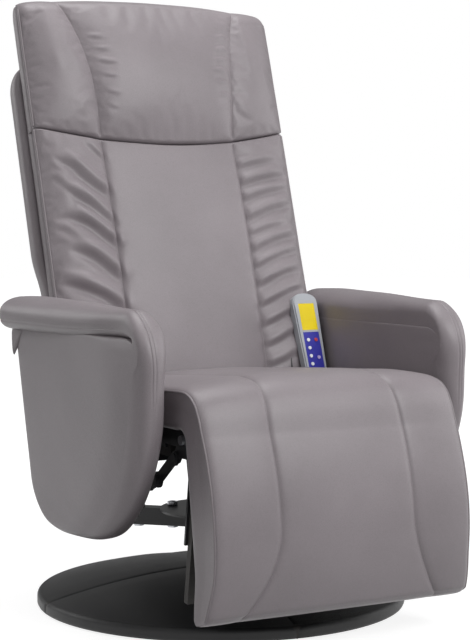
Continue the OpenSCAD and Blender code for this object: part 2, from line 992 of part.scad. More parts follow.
function headrest_seam(f) = 134 + 16 * f + 36 * pow(f, 3);
module headrest_pad() {
    hw = back_w / 2;
    steps = [0, 0.06, 0.2, 0.4, 0.6, 0.78, 0.9, 0.97, 1];
    color(leather)
        back_local()
            loft([
                for (f = steps)
                    let (
                        end = f < 0.03 ? 0.8 : f > 0.99 ? 0.55 : f > 0.95 ? 0.82 : 1,
                        crown = 12 + 18 * sin(180 * pow(f, 0.7))
                    )
                    on_back(
                        cushion_section(hw - (f > 0.99 ? 8 : 0), back_pad_t * end, crown * end,
                                        headrest_seam(f), 4, f < 0.03 ? 0 : channel_depth),
                        headrest_v + soft_gap + f * (back_l - headrest_v - soft_gap), back_pad_t,
                        seam_dip * pow(1 - f, 4) - 10 * f, hw, 1
                    )
            ]);
}

// Padded tray behind the frame: rounded top, side walls forward to the cushion
module back_shell() {
    hw = back_w / 2;
    bulge = 6;
    steps = [0, 0.04, 0.36, 0.6, 0.84, 0.93, 0.98, 1];
    color(leather)
        back_local()
            difference() {
                loft([
                    for (i = [len(steps) - 1:-1:0])
                        let (
                            f = steps[i],
                            end = f > 0.99 ? 0.42 : f > 0.95 ? 0.74 : f > 0.9 ? 0.92 : f < 0.02 ? 0.85 : 1
                        )
                        on_back(
                            cushion_section(hw + bulge * smooth(clamp01((f - 0.36) / 0.24)),
                                            back_shell_t * end, 8 * end, 150, 3),
                            back_bottom_v + f * (shell_top_v - back_bottom_v), back_pad_t, 0, hw, -1
                        )
                ]);
                translate([-pocket_x, back_pad_t - 5, back_bottom_v - 20])
                    cube([2 * pocket_x, pocket_w1 - back_pad_t + 5, pocket_top_v - back_bottom_v + 20]);
                // The open lower end is cut off level
                translate([-back_w, back_pad_t - 5, back_bottom_v - 30])
                    cube([2 * back_w, back_shell_t + 20, 31]);
            }
}

// Arms: the panel's outline is two leaning lines with a rounded corner at the foot of each
function corner_in(t, power) = 1 - pow(1 - pow(1 - clamp01(t), power), 1 / power);
function arm_rear(z) = arm_rear_y - 0.22 * (arm_pad_z - z)
    - 108 * corner_in((z - arm_bottom_z) / 80, 2);
function arm_front(z) = arm_front_y + 0.03 * (arm_pad_z - z)
    + 190 * corner_in((z - arm_bottom_z) / 210, 1.5);
// Roll over the top front corner of the panel, at these angles up from level
roll_r = 60;
roll_z = arm_pad_z - roll_r;
roll_steps = [22.5, 45, 67.5];
function arm_roll(z) = z > roll_z ? roll_r - sqrt(max(0, pow(roll_r, 2) - pow(z - roll_z, 2))) : 0;
// Levels of the panel's rings as shares of its height below the roll
panel_steps = [0, 0.012, 0.04, 0.09, 0.16, 0.26, 0.4, 0.6, 0.8, 1];
function panel_level(f) = arm_bottom_z + f * (roll_z - arm_bottom_z);

function arm_ring(z, inset) =
    let (
        y0 = arm_front(z) + arm_roll(z) + inset,
        y1 = arm_rear(z) - inset,
        ring = soft_ring(arm_t / 2 - inset * 0.6, (y1 - y0) / 2, 28, 4.2)
    )
    [for (p = ring) [arm_x0 + arm_t / 2 + p[0], (y0 + y1) / 2 + p[1], z]];

module arm_panel() {
    top = arm_pad_z - seat_gap;
    difference() {
        loft(concat(
            [for (f = panel_steps)
                arm_ring(panel_level(f), f < 0.01 ? 22 : f < 0.02 ? 12 : f < 0.05 ? 4 : 0)],
            [for (a = roll_steps) arm_ring(roll_z + roll_r * sin(a), 0)],
            [[for (p = arm_ring(arm_pad_z, 0)) [p[0], p[1], top]]]
        ));
        arm_board_block(seat_gap, 10);
        for (y = fixing_y)
            translate([arm_x0 - 1, y, fixing_z])
                rotate([0, 90, 0])
                    cylinder(d = 8 + 2 * running, h = arm_skin + 3);
    }
}

// Plywood core of the arm, open only to the cushion above it
module arm_board_block(extra, above) {
    translate([arm_x0 + arm_skin - extra, 0, 0])
        rotate([90, 0, 90])
            linear_extrude(arm_board_t + 2 * extra)
                polygon(arm_board_outline(extra, above));
}

function arm_board_outline(e, above) =
    let (
        inset = 34,
        foot_z = arm_bottom_z + 30,
        foot_y = (arm_front(foot_z) + arm_rear(foot_z)) / 2,
        foot_half = 30,
        levels = [for (f = [0.79, 0.51, 0.23]) arm_bottom_z + f * (arm_pad_z - arm_bottom_z)],
        top = arm_pad_z - seat_gap + above
    )
    concat(
        [[arm_front_y + roll_r + 10 - e, top]],
        [for (z = levels) [arm_front(z) + inset - e, z]],
        [[foot_y - foot_half, foot_z - e], [foot_y + foot_half, foot_z - e]],
        [for (i = [2:-1:0]) [arm_rear(levels[i]) - inset + e, levels[i]]],
        [[arm_rear(levels[0]) - inset + e, top]]
    );

module arm_boards() {
    color(wood)
        both_sides()
            difference() {
                arm_board_block(0, 0);
                for (y = fixing_y)
                    translate([arm_x0 - 1, y, fixing_z])
                        rotate([0, 90, 0])
                            cylinder(d = 8 + 2 * running, h = arm_skin + arm_board_t);
            }
}

module arm_panel_right() {
    color(leather)
        arm_panel();
}

module arm_panel_left() {
    color(leather)
        mirror([1, 0, 0])
            arm_panel();
}

// One ring of the arm cushion: its foot on the panel at [y, z], t thick along the direction n
function arm_pad_ring(foot, n, t, hw, squeeze) = [
    for (p = soft_ring(hw * (0.4 + 0.6 * squeeze), t / 2 * squeeze, 20, 3.2))
        [arm_x0 + hw + p[0], foot[0] + n[0] * (t / 2 + p[1]), foot[1] + n[1] * (t / 2 + p[1])]
];

// Arm cushion: level along the top, wider to the rear, then rolled down over the panel's front edge
// and drawn out into a thin band that follows it to its foot
module arm_pad() {
    rear = arm_rear_y + 18;
    turn_y = arm_front(arm_pad_z) + roll_r;
    reach = rear - turn_y;
    roll_gap_r = roll_r + seat_gap;
    turn_t = 0.72 * arm_pad_t;
    band_t = 3;
    top_runs = [0, 0.015, 0.05, 0.18, 0.36, 0.55, 0.74, 0.9];
    loft(concat(
        [for (f = top_runs)
            let (
                hw = (arm_t + arm_overhang * (1 - smooth(f))) / 2,
                t = arm_pad_t + (turn_t - arm_pad_t) * smooth(clamp01((f - 0.5) / 0.5))
            )
                arm_pad_ring([rear - f * reach, arm_pad_z], [0, 1], t, hw,
                             f < 0.01 ? 0.4 : f < 0.03 ? 0.8 : 1)],
        [for (a = concat(90, [for (i = [2:-1:0]) roll_steps[i]], 0))
            let (level = roll_z + roll_r * sin(a))
                arm_pad_ring([arm_front(level) + roll_r - roll_gap_r * cos(a), roll_z + roll_gap_r * sin(a)],
                             [-cos(a), sin(a)], band_t + (turn_t - band_t) * (1 - cos(a)), arm_t / 2, 1)],
        [for (f = [0.8, 0.6, 0.4, 0.26])
            let (z = panel_level(f))
                arm_pad_ring([arm_front(z) - seat_gap, z], [-1, 0], f < 0.3 ? 0.4 * band_t : band_t,
                             arm_t / 2 - 3, 1)]
    ));
}

module arm_pad_right() {
    color(leather)
        arm_pad();
}

module arm_pad_left() {
    color(leather)
        mirror([1, 0, 0])
            arm_pad();
}

// Sleeves that hold the arms off the mechanism, and the bolts through them
module arm_fixings() {
    color(black_steel)
        both_sides()
            for (y = fixing_y)
                translate([0, y, fixing_z])
                    rotate([0, 90, 0]) {
                        translate([0, 0, plate_x + plate_t])
                            tube(20, 5.5, arm_x0 - plate_x - plate_t);
                        translate([0, 0, rail_x])
                            cylinder(d = 8, h = arm_x0 + arm_skin + arm_board_t - 3 - rail_x);
                        translate([0, 0, rail_x - 5])
                            cylinder(d = 16, h = 5, $fn = 6);
                    }
}

// Control box under the seat box, with its power inlet on the left and the cord's outlet on the right
box_l = 120;
box_w = 70;
box_h = 30;
box_y = 20;
lid_h = 4;
box_top = rail_z - 1;
outlet = [box_l / 2, box_y + 56, box_top - box_h / 2];
module control_box() {
    wall = 2.5;
    color(case_black)
        difference() {
            translate([-box_l / 2, box_y, box_top - box_h + lid_h])
                cube([box_l, box_w, box_h - lid_h]);
            translate([-box_l / 2 + wall, box_y + wall, box_top - box_h + lid_h - 1])
                cube([box_l - 2 * wall, box_w - 2 * wall, box_h - lid_h - wall + 1]);
            translate([-box_l / 2 - 1, box_y + 20, outlet[2]])
                rotate([0, 90, 0])
                    cylinder(d = 6.4, h = 10);
            translate(outlet - [6, 0, 0])
                rotate([0, 90, 0])
                    cylinder(d = cord_d + 0.4, h = 20);
        }
}

module control_box_lid() {
    color(case_black)
        difference() {
            translate([-box_l / 2, box_y, box_top - box_h])
                cube([box_l, box_w, lid_h]);
            for (i = [-4:4])
                translate([i * 10 - 1.5, box_y + 18, box_top - box_h - 1])
                    cube([3, box_w - 36, lid_h + 2]);
        }
}

// Round cord swept along points, its rings square to the route
function unit(v) = v / norm(v);
function cord_ring(a, b, c, r, sides) =
    let (t = unit(c - a), e = unit(cross(t, [0.13, 0.99, 0.05])), g = cross(t, e))
    [for (i = [0:sides - 1]) b + r * (cos(360 * i / sides) * e + sin(360 * i / sides) * g)];
module swept_cord(route, d, sides) {
    n = len(route);
    loft([
        for (i = [n - 1:-1:0])
            cord_ring(route[max(0, i - 1)], route[i], route[min(n - 1, i + 1)], d / 2, sides)
    ]);
}

// One smooth curve through chosen points, with a set number of steps between each pair
function catmull(p, i, t) =
    let (
        n = len(p),
        a = p[max(0, i - 1)],
        b = p[i],
        c = p[i + 1],
        d = p[min(n - 1, i + 2)]
    )
    0.5 * (2 * b + t * (c - a) + t * t * (2 * a - 5 * b + 4 * c - d)
        + t * t * t * (3 * b - a - 3 * c + d));
function smooth_route(p, per) = concat(
    [for (i = [0:len(p) - 2], k = [0:per - 1]) catmull(p, i, k / per)],
    [p[len(p) - 1]]
);

module handset_cord() {
    color(case_black)
        swept_cord(smooth_route(cord_route, 2), cord_d, 8);
}

clip_at = cord_route[0];
inner_route = [
    outlet - [3, 0, 0], outlet + [30, 2, 2], outlet + [90, 2, 3], [rail_x + 7, outlet[1] + 1, outlet[2] + 5],
    [plate_x + 14, outlet[1] - 4, outlet[2] + 7], [clip_at[0] - 3, clip_at[1] + 1.5, outlet[2] + 15],
    [clip_at[0], clip_at[1], outlet[2] + 25], clip_at - [0, 0, 10], clip_at - [0, 0, 0.05]
];
module inner_cord() {
    color(case_black)
        swept_cord(smooth_route(inner_route, 3), cord_d, 8);
}

// Nylon clip on the rearmost arm sleeve, with an eye for the cord
module cord_clip() {
    clip_h = 10;
    sleeve_y = fixing_y[2];
    color(case_black)
        difference() {
            union() {
                translate([clip_at[0] - 4, sleeve_y, fixing_z])
                    rotate([0, 90, 0])
                        cylinder(d = 25, h = 8);
                translate([clip_at[0] - 4, sleeve_y + 8, fixing_z - clip_h / 2])
                    cube([8, clip_at[1] - sleeve_y - 8, clip_h]);
                translate([clip_at[0], clip_at[1], fixing_z - clip_h / 2])
                    cylinder(d = 8, h = clip_h);
            }
            translate([clip_at[0], clip_at[1], fixing_z - 20])
                cylinder(d = cord_d + 0.3, h = 40);
            translate([clip_at[0] - 10, sleeve_y, fixing_z])
                rotate([0, 90, 0])
                    cylinder(d = 20, h = 20);
        }
}

// Cup under the handset's foot, on a plate screwed to the inside of the right arm
module handset_holder() {
    floor_t = 2.5;
    wall = 2;
    foot_w = 2 * handset_w * 0.42;
    color(case_black) {
        handset_local()
            difference() {
                translate([-foot_w / 2 - wall - seat_gap, -handset_t - wall - seat_gap, -floor_t])
                    cube([foot_w + 2 * (wall + seat_gap), handset_t + 2 * (wall + seat_gap), 14]);
                translate([-foot_w / 2 - seat_gap, -handset_t - seat_gap, 0])
                    cube([foot_w + 2 * seat_gap, handset_t + 2 * seat_gap, 20]);
                translate([0, -handset_t / 2, -floor_t - 1])
                    cylinder(d = 11, h = floor_t + 2);
                translate([-5.5, -handset_t - 10, -floor_t - 1])
                    cube([11, handset_t / 2 + 10, floor_t + 2]);
            }
        handset_local()
            translate([foot_w / 2, -handset_t + 4, -floor_t])
                cube([arm_x0 - handset_foot[0] - foot_w / 2 - seat_gap, handset_t - 8, floor_t]);
        handset_local()
            translate([arm_x0 - handset_foot[0] - seat_gap - 2, -handset_t + 4, -floor_t - 14])
                cube([2, handset_t - 8, 26]);
    }
}

// Handset
module handset_local() {
    translate(handset_foot)
        rotate([-handset_lean, 0, 0])
            children();
}

// Outline of the handset, narrow at its foot and wide at its round head, as [x, l]
function handset_outline(inset) =
    let (
        foot = handset_w * 0.42 - inset,
        head = handset_w / 2 - inset
    )
    concat(
        [[-foot + 5, inset], [foot - 5, inset], [foot, inset + 6]],
        [for (a = [0:15:180])
            [head * pow(abs(cos(a)), 0.8) * sign(cos(a)), handset_l - head * 0.72 + (head * 0.72 - inset) * sin(a)]],
        [[-foot, inset + 6]]
    );

module handset_slab(inset, d0, d1) {
    translate([0, -d0, 0])
        rotate([90, 0, 0])
            linear_extrude(d1 - d0)
                polygon(handset_outline(inset));
}

module handset_back() {
    color(case_grey)
        handset_local()
            difference() {
                union() {
                    handset_slab(3, 0, 3);
                    handset_slab(0, 3, shell_split);
                }
                handset_slab(2.5, 4.5, shell_split + 1);
            }
}

module handset_front() {
    color(case_grey)
        handset_local()
            difference() {
                union() {
                    handset_slab(0, shell_split, handset_t - 3);
                    handset_slab(2, handset_t - 3, handset_t);
                }
                handset_slab(2.5, shell_split - 1, handset_t - 3.5);
                panel_block(keypad_l0 - 0.15, keypad_l1 + 0.15, 0.15);
                panel_block(display_l0 - 0.15, display_l1 + 0.15, 0.15);
                for (b = button_places)
                    button_hole(b, button_d + 0.8);
            }
}

panel_w = 33;
module panel_block(l0, l1, extra) {
    translate([-panel_w / 2 - extra, -handset_t, l0])
        cube([panel_w + 2 * extra, panel_t + extra, l1 - l0]);
}

// Places of the six buttons as [x, l]: a column of four and a column of two
button_places = [
    for (b = [[8, 3.1], [8, 0.9], [-8, 3.1], [-8, 2.1], [-8, 1.1], [-8, 0.1]])
        [b[0], keypad_l0 + 9 + button_pitch * b[1]]
];

module button_hole(b, d) {
    translate([b[0], 0, b[1]])
        rotate([90, 0, 0])
            cylinder(d = d, h = handset_t + 5);
}

module handset_keypad() {
    color([0.2, 0.16, 0.62])
        handset_local()
            difference() {
                panel_block(keypad_l0, keypad_l1, 0);
                for (b = button_places)
                    button_hole(b, button_d + 0.8);
            }
}

module handset_display() {
    color([0.92, 0.8, 0.05])
        handset_local()
            panel_block(display_l0, display_l1, 0);
}

module button(i) {
    skin = 3.5;
    stem = button_h / 2 + skin + 0.1;
    handset_local()
        translate([button_places[i][0], -handset_t - button_h / 2, button_places[i][1]])
            rotate([-90, 0, 0]) {
                cylinder(d = button_d, h = stem + 0.5);
                translate([0, 0, stem])
                    cylinder(d = button_d + 2.4, h = 1);
            }
}

module strain_relief() {
    l = 18;
    color(case_black)
        handset_local()
            translate([0, -handset_t / 2, -l])
                difference() {
                    cylinder(d1 = cord_d + 2.4, d2 = 9, h = l - 0.05);
                    translate([0, 0, -1])
                        cylinder(d = cord_d + 0.4, h = 7);
                }
}

floor_pad();
base_board();
base_foam();
base_cover();
post_collar();
base_post();
post_bush();
lower_race();
bearing_balls();
upper_race();
swivel_hub();
spider_arms();
spider_plate();
spider_bolts();
pedestal_tubes();
cross_rails();
seat_rails();
side_plates();
webbing();
seat_pad();
knee_pad();
dust_cover();
control_box();
control_box_lid();
seat_motor_cases();
pivot_bolts();
drive_link_left();
drive_link_right();
footrest_brackets();
footrest_board();
footrest_pad();
back_brackets();
back_frame();
back_straps();
back_motor_cases();
lumbar_pad();
headrest_pad();
back_shell();
arm_fixings();
arm_boards();
arm_panel_left();
arm_panel_right();
arm_pad_left();
arm_pad_right();
handset_holder();
cord_clip();
inner_cord();
handset_cord();
strain_relief();
handset_back();
handset_front();
handset_keypad();
handset_display();
color([0.8, 0.1, 0.1]) button(0);  // button_power
color([0.8, 0.78, 0.95]) button(1);  // button_heat
color([0.95, 0.95, 0.98]) button(2);  // button_1
color([0.95, 0.95, 0.98]) button(3);  // button_2
color([0.95, 0.95, 0.98]) button(4);  // button_3
color([0.95, 0.95, 0.98]) button(5);  // button_4
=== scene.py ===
"""Looks of a massage recliner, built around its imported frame. Metres, chair facing -Y, origin on the floor."""
import json
import math

import bpy
import numpy as np
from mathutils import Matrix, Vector, noise


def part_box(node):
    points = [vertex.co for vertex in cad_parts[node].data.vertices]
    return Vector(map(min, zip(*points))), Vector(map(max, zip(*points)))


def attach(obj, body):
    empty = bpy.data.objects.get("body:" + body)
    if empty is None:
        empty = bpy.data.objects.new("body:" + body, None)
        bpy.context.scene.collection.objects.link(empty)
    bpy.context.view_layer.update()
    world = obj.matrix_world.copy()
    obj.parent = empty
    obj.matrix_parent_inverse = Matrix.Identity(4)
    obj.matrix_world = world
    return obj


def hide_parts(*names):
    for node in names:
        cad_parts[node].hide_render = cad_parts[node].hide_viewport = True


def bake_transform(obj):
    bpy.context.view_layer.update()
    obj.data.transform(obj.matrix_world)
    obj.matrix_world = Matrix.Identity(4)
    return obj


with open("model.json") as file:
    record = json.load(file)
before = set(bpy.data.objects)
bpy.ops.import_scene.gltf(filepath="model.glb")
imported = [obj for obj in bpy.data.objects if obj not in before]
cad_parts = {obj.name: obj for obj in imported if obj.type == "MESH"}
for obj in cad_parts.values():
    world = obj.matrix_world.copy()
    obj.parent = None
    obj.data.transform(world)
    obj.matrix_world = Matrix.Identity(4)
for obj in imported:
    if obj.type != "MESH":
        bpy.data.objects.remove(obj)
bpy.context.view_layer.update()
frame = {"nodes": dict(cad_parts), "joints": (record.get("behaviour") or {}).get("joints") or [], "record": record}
nodes = frame["nodes"]
MM = 0.001


def put(name, data):
    """A new object in the scene."""
    made = bpy.data.objects.new(name, data)
    bpy.context.scene.collection.objects.link(made)
    return made


def aim_at(made, place, target):
    """Places a lamp or the camera and turns it to the target."""
    made.location = place
    made.rotation_mode = "QUATERNION"
    made.rotation_quaternion = (Vector(target) - Vector(place)).to_track_quat("-Z", "Y")


# Camera: the photograph is 470 by 640, taken from the front left at about two thirds of the chair's height
CAMERA_AZIMUTH = math.radians(29.406)
CAMERA_DISTANCE = 3.0427
CAMERA_HEIGHT = 0.6818
FOCAL_PIXELS = 1767.8
PHOTO_HEIGHT = 640
SENSOR = 36.0
AIM_RIGHT = 0.0244
AIM_HEIGHT = 0.4880

camera_data = bpy.data.cameras.new("camera")
camera_data.sensor_width = SENSOR
camera_data.lens = FOCAL_PIXELS * SENSOR / PHOTO_HEIGHT
camera = put("camera", camera_data)
azimuth_cos, azimuth_sin = math.cos(CAMERA_AZIMUTH), math.sin(CAMERA_AZIMUTH)
aim_at(camera, (-CAMERA_DISTANCE * azimuth_sin, -CAMERA_DISTANCE * azimuth_cos, CAMERA_HEIGHT),
       (AIM_RIGHT * azimuth_cos, -AIM_RIGHT * azimuth_sin, AIM_HEIGHT))
bpy.context.scene.camera = camera


# Node materials
def new_material(name, use_uv=False):
    """A material, its tree and shader, and the (node, output) pair from which its textures read their place."""
    made = bpy.data.materials.new(name)
    made.use_nodes = True
    tree = made.node_tree
    return made, tree, tree.nodes["Principled BSDF"], (add(tree, "TexCoord"), "UV" if use_uv else "Object")


def add(tree, kind, values=None, links=None, **settings):
    """A node with its settings, input values and input links; link values are (node, output) pairs."""
    node = tree.nodes.new("ShaderNode" + kind)
    for key, value in settings.items():
        setattr(node, key, value)
    for key, value in (values or {}).items():
        node.inputs[key].default_value = value
    for key, (source, output) in (links or {}).items():
        tree.links.new(source.outputs[output], node.inputs[key])
    return node


def ramp(tree, source, output, stops):
    """A colour ramp over stops of (place, grey or colour)."""
    node = tree.nodes.new("ShaderNodeValToRGB")
    while len(node.color_ramp.elements) < len(stops):
        node.color_ramp.elements.new(0.5)
    for element, (place, colour) in zip(node.color_ramp.elements, stops):
        element.position = place
        element.color = (*colour, 1) if hasattr(colour, "__len__") else (colour, colour, colour, 1)
    tree.links.new(source.outputs[output], node.inputs["Fac"])
    return node


def coloured(tree, shader, source, output, stops):
    """A colour ramp as the shader's base colour."""
    tree.links.new(ramp(tree, source, output, stops).outputs["Color"], shader.inputs["Base Color"])


def glossed(tree, shader, source, low, high):
    """Roughness that wanders from low to high with a noise."""
    gloss = add(tree, "MapRange", {"To Min": low, "To Max": high}, {"Value": (source, "Fac")})
    tree.links.new(gloss.outputs["Result"], shader.inputs["Roughness"])


def clouds(tree, at, scale, detail):
    """A noise texture."""
    return add(tree, "TexNoise", {"Scale": scale, "Detail": detail}, {"Vector": at})


def bump_into(tree, shader, source, output, strength, distance, below=None):
    """A bump on the shader, on top of the bump below if there is one."""
    node = add(tree, "Bump", {"Strength": strength, "Distance": distance}, {"Height": (source, output)})
    if below is not None:
        tree.links.new(below.outputs["Normal"], node.inputs["Normal"])
    tree.links.new(node.outputs["Normal"], shader.inputs["Normal"])
    return node


def scaled(colour, by):
    return tuple(c * by for c in colour)


def leather_material(name, colour, use_uv, roughness=0.40, grain=620, depth=0.35, tone=0.10):
    """Bonded leather: pebbled grain, fine pores, a slow change of tone and painted shade that darkens the grain's
    valleys.
    """
    made, tree, shader, at = new_material(name, use_uv)
    warp = clouds(tree, at, grain * 0.18, 3.0)
    spread = add(tree, "MixRGB", {"Fac": 0.0025}, {"Color1": at, "Color2": (warp, "Color")}, blend_type="ADD")
    cells = add(tree, "TexVoronoi", {"Scale": grain, "Randomness": 0.9}, {"Vector": (spread, "Color")},
                feature="DISTANCE_TO_EDGE")
    pebble = ramp(tree, cells, "Distance", [(0.0, 0.0), (0.16, 0.75), (0.45, 1.0)])
    pores = clouds(tree, at, grain * 3.1, 2.0)
    slow = clouds(tree, at, 5.0, 4.0)
    tones = ramp(tree, slow, "Fac", [(0.3, scaled(colour, 1 - tone)), (0.7, scaled(colour, 1 + tone))])
    # Painted shade: multiplying the colour by the pebble pattern darkens the grain's valleys
    valley_shade = add(tree, "MixRGB", {"Fac": 0.16}, {"Color1": (tones, "Color"), "Color2": (pebble, "Color")},
               blend_type="MULTIPLY")
    tree.links.new(valley_shade.outputs["Color"], shader.inputs["Base Color"])
    glossed(tree, shader, slow, roughness - 0.05, roughness + 0.08)
    shader.inputs["Specular IOR Level"].default_value = 0.5
    fine = bump_into(tree, shader, pores, "Fac", depth * 0.4, 0.0001)
    bump_into(tree, shader, pebble, "Color", depth, 0.00022, fine)
    return made


def metal_material(name, colour, roughness, metallic, speckle=900, depth=0.2, coat=0.0):
    """Painted or plated steel with a fine texture, faint smears and slightly uneven gloss."""
    made, tree, shader, at = new_material(name)
    peel = clouds(tree, at, speckle, 2.0)
    smear = clouds(tree, at, 14.0, 5.0)
    coloured(tree, shader, smear, "Fac", [(0.35, scaled(colour, 0.86)), (0.65, scaled(colour, 1.12))])
    glossed(tree, shader, smear, roughness - 0.07, roughness + 0.09)
    shader.inputs["Metallic"].default_value = metallic
    shader.inputs["Coat Weight"].default_value = coat
    bump_into(tree, shader, peel, "Fac", depth, 0.00012)
    return made


def plastic_material(name, colour, roughness=0.4, depth=0.18):
    """Moulded plastic with a fine spark texture."""
    made, tree, shader, at = new_material(name)
    spark = clouds(tree, at, 2600.0, 1.0)
    slow = clouds(tree, at, 30.0, 3.0)
    coloured(tree, shader, slow, "Fac", [(0.3, scaled(colour, 0.95)), (0.7, scaled(colour, 1.04))])
    glossed(tree, shader, slow, roughness - 0.04, roughness + 0.06)
    bump_into(tree, shader, spark, "Fac", depth, 0.00005)
    return made


def wood_material(name, colour):
    """Plywood: long grain, with the thin dark glue lines of its plies."""
    made, tree, shader, at = new_material(name)
    stretch = add(tree, "Mapping", {"Scale": (1.0, 14.0, 14.0)}, {"Vector": at})
    streaks = clouds(tree, (stretch, "Vector"), 18.0, 6.0)
    tones = ramp(tree, streaks, "Fac", [(0.3, scaled(colour, 0.72)), (0.5, colour), (0.7, scaled(colour, 1.15))])
    plies = add(tree, "TexWave", {"Scale": 105.0, "Distortion": 0.4}, {"Vector": at}, bands_direction="X")
    lines = ramp(tree, plies, "Fac", [(0.0, 0.62), (0.12, 1.0), (1.0, 1.0)])
    both = add(tree, "MixRGB", {"Fac": 0.5}, {"Color1": (tones, "Color"), "Color2": (lines, "Color")},
               blend_type="MULTIPLY")
    tree.links.new(both.outputs["Color"], shader.inputs["Base Color"])
    shader.inputs["Roughness"].default_value = 0.62
    bump_into(tree, shader, streaks, "Fac", 0.25, 0.0003)
    return made


def woven_material(name, colour, pitch):
    """Plain weave of two crossing threads."""
    made, tree, shader, at = new_material(name)
    across, along = (add(tree, "TexWave", {"Scale": 1 / pitch / 20, "Distortion": 0.6}, {"Vector": at},
                         bands_direction=way) for way in "XY")
    weave = add(tree, "MixRGB", {"Fac": 0.5}, {"Color1": (across, "Color"), "Color2": (along, "Color")},
                blend_type="DIFFERENCE")
    coloured(tree, shader, weave, "Color", [(0.0, scaled(colour, 0.6)), (1.0, scaled(colour, 1.25))])
    shader.inputs["Roughness"].default_value = 0.85
    shader.inputs["Sheen Weight"].default_value = 0.2
    bump_into(tree, shader, weave, "Color", 0.5, 0.0002)
    return made


def foam_material(name, colour):
    """Open-celled foam."""
    made, tree, shader, at = new_material(name)
    cells = add(tree, "TexVoronoi", {"Scale": 500.0}, {"Vector": at})
    coloured(tree, shader, cells, "Distance", [(0.0, scaled(colour, 0.7)), (0.6, colour)])
    shader.inputs["Roughness"].default_value = 0.95
    bump_into(tree, shader, cells, "Distance", 0.6, 0.0004)
    return made


TAUPE = (0.262, 0.232, 0.247)
CHARCOAL = (0.017, 0.017, 0.018)
leather = leather_material("taupe leather", TAUPE, True)
welt_leather = leather_material("welt leather", scaled(TAUPE, 0.9), True, 0.42, 900, 0.25)
base_hide = leather_material("base leatherette", CHARCOAL, True, 0.46, 560, 0.45, 0.16)
rubber = plastic_material("rubber", (0.02, 0.02, 0.02), 0.75, 0.3)
black_plastic = plastic_material("black plastic", (0.018, 0.018, 0.02), 0.42)
nonwoven = woven_material("lining cloth", (0.028, 0.028, 0.031), 0.0012)

SLOT_MATERIALS = {
    "taupe_leather": leather,
    "black_leather": base_hide,
    "black_steel": metal_material("black powder coat", (0.014, 0.014, 0.016), 0.42, 0.0, 800, 0.35, 0.1),
    "plated_steel": metal_material("zinc plate", (0.56, 0.57, 0.6), 0.34, 1.0, 300, 0.08),
    "plywood": wood_material("black-stained plywood", (0.030, 0.027, 0.025)),
    "woven_strap": woven_material("woven strap", (0.09, 0.085, 0.08), 0.0018),
    "polyfoam": foam_material("foam", (0.62, 0.6, 0.5)),
    "dust_cloth": nonwoven,
    "black_rubber": rubber,
    "black_plastic": black_plastic,
}
for slot_name, *look in (
    ("grey_plastic", (0.42, 0.44, 0.47), 0.36),
    ("blue_panel", (0.035, 0.035, 0.36), 0.3, 0.05),
    ("yellow_panel", (0.86, 0.66, 0.0), 0.3, 0.05),
    ("red_key", (0.55, 0.05, 0.08), 0.35, 0.05),
    ("lilac_key", (0.5, 0.42, 0.75), 0.35, 0.05),
    ("white_key", (0.82, 0.84, 0.9), 0.35, 0.05),
):
    SLOT_MATERIALS[slot_name] = plastic_material(slot_name.replace("_", " "), *look)
slot_of = {part["node"]: part["material_slot"] for part in frame["record"]["subparts"]}
for node_name, node_object in nodes.items():
    node_object.data.materials.clear()
    node_object.data.materials.append(SLOT_MATERIALS[slot_of[node_name]])


# Mesh helpers
def smooth(t):
    """Eases from 0 to 1."""
    t = np.clip(t, 0.0, 1.0)
    return t * t * (3 - 2 * t)


def eased(t):
    return float(smooth(t))


def link_mesh(name, points, faces, material, uvs=None):
    """A smooth-shaded mesh object; uvs is one (u, v) for each corner of each face."""
    mesh = bpy.data.meshes.new(name)
    mesh.from_pydata([tuple(p) for p in points], [], faces)
    mesh.materials.append(material)
    if uvs is not None:
        layer = mesh.uv_layers.new(name="UVMap")
        layer.data.foreach_set("uv", np.asarray(uvs, np.float32).ravel())
    mesh.polygons.foreach_set("use_smooth", [True] * len(mesh.polygons))
    mesh.update()
    return put(name, mesh)


def run_lengths(points, axis):
    """Distance along the given axis of a grid of points, from its first line."""
    steps = np.linalg.norm(np.diff(points, axis=axis), axis=2)
    start = np.zeros_like(np.take(steps, [0], axis=axis))
    return np.cumsum(np.concatenate([start, steps], axis=axis), axis=axis)


def inside_out(points, faces):
    """Whether the faces of a closed skin look inwards."""
    at = np.asarray(points, float)
    corners = np.array([face[:3] for face in faces]
                       + [(face[0], face[2], face[3]) for face in faces if len(face) == 4])
    a, b, c = (at[corners[:, k]] - at.mean(axis=0) for k in range(3))
    return (np.cross(a, b) * c).sum() < 0


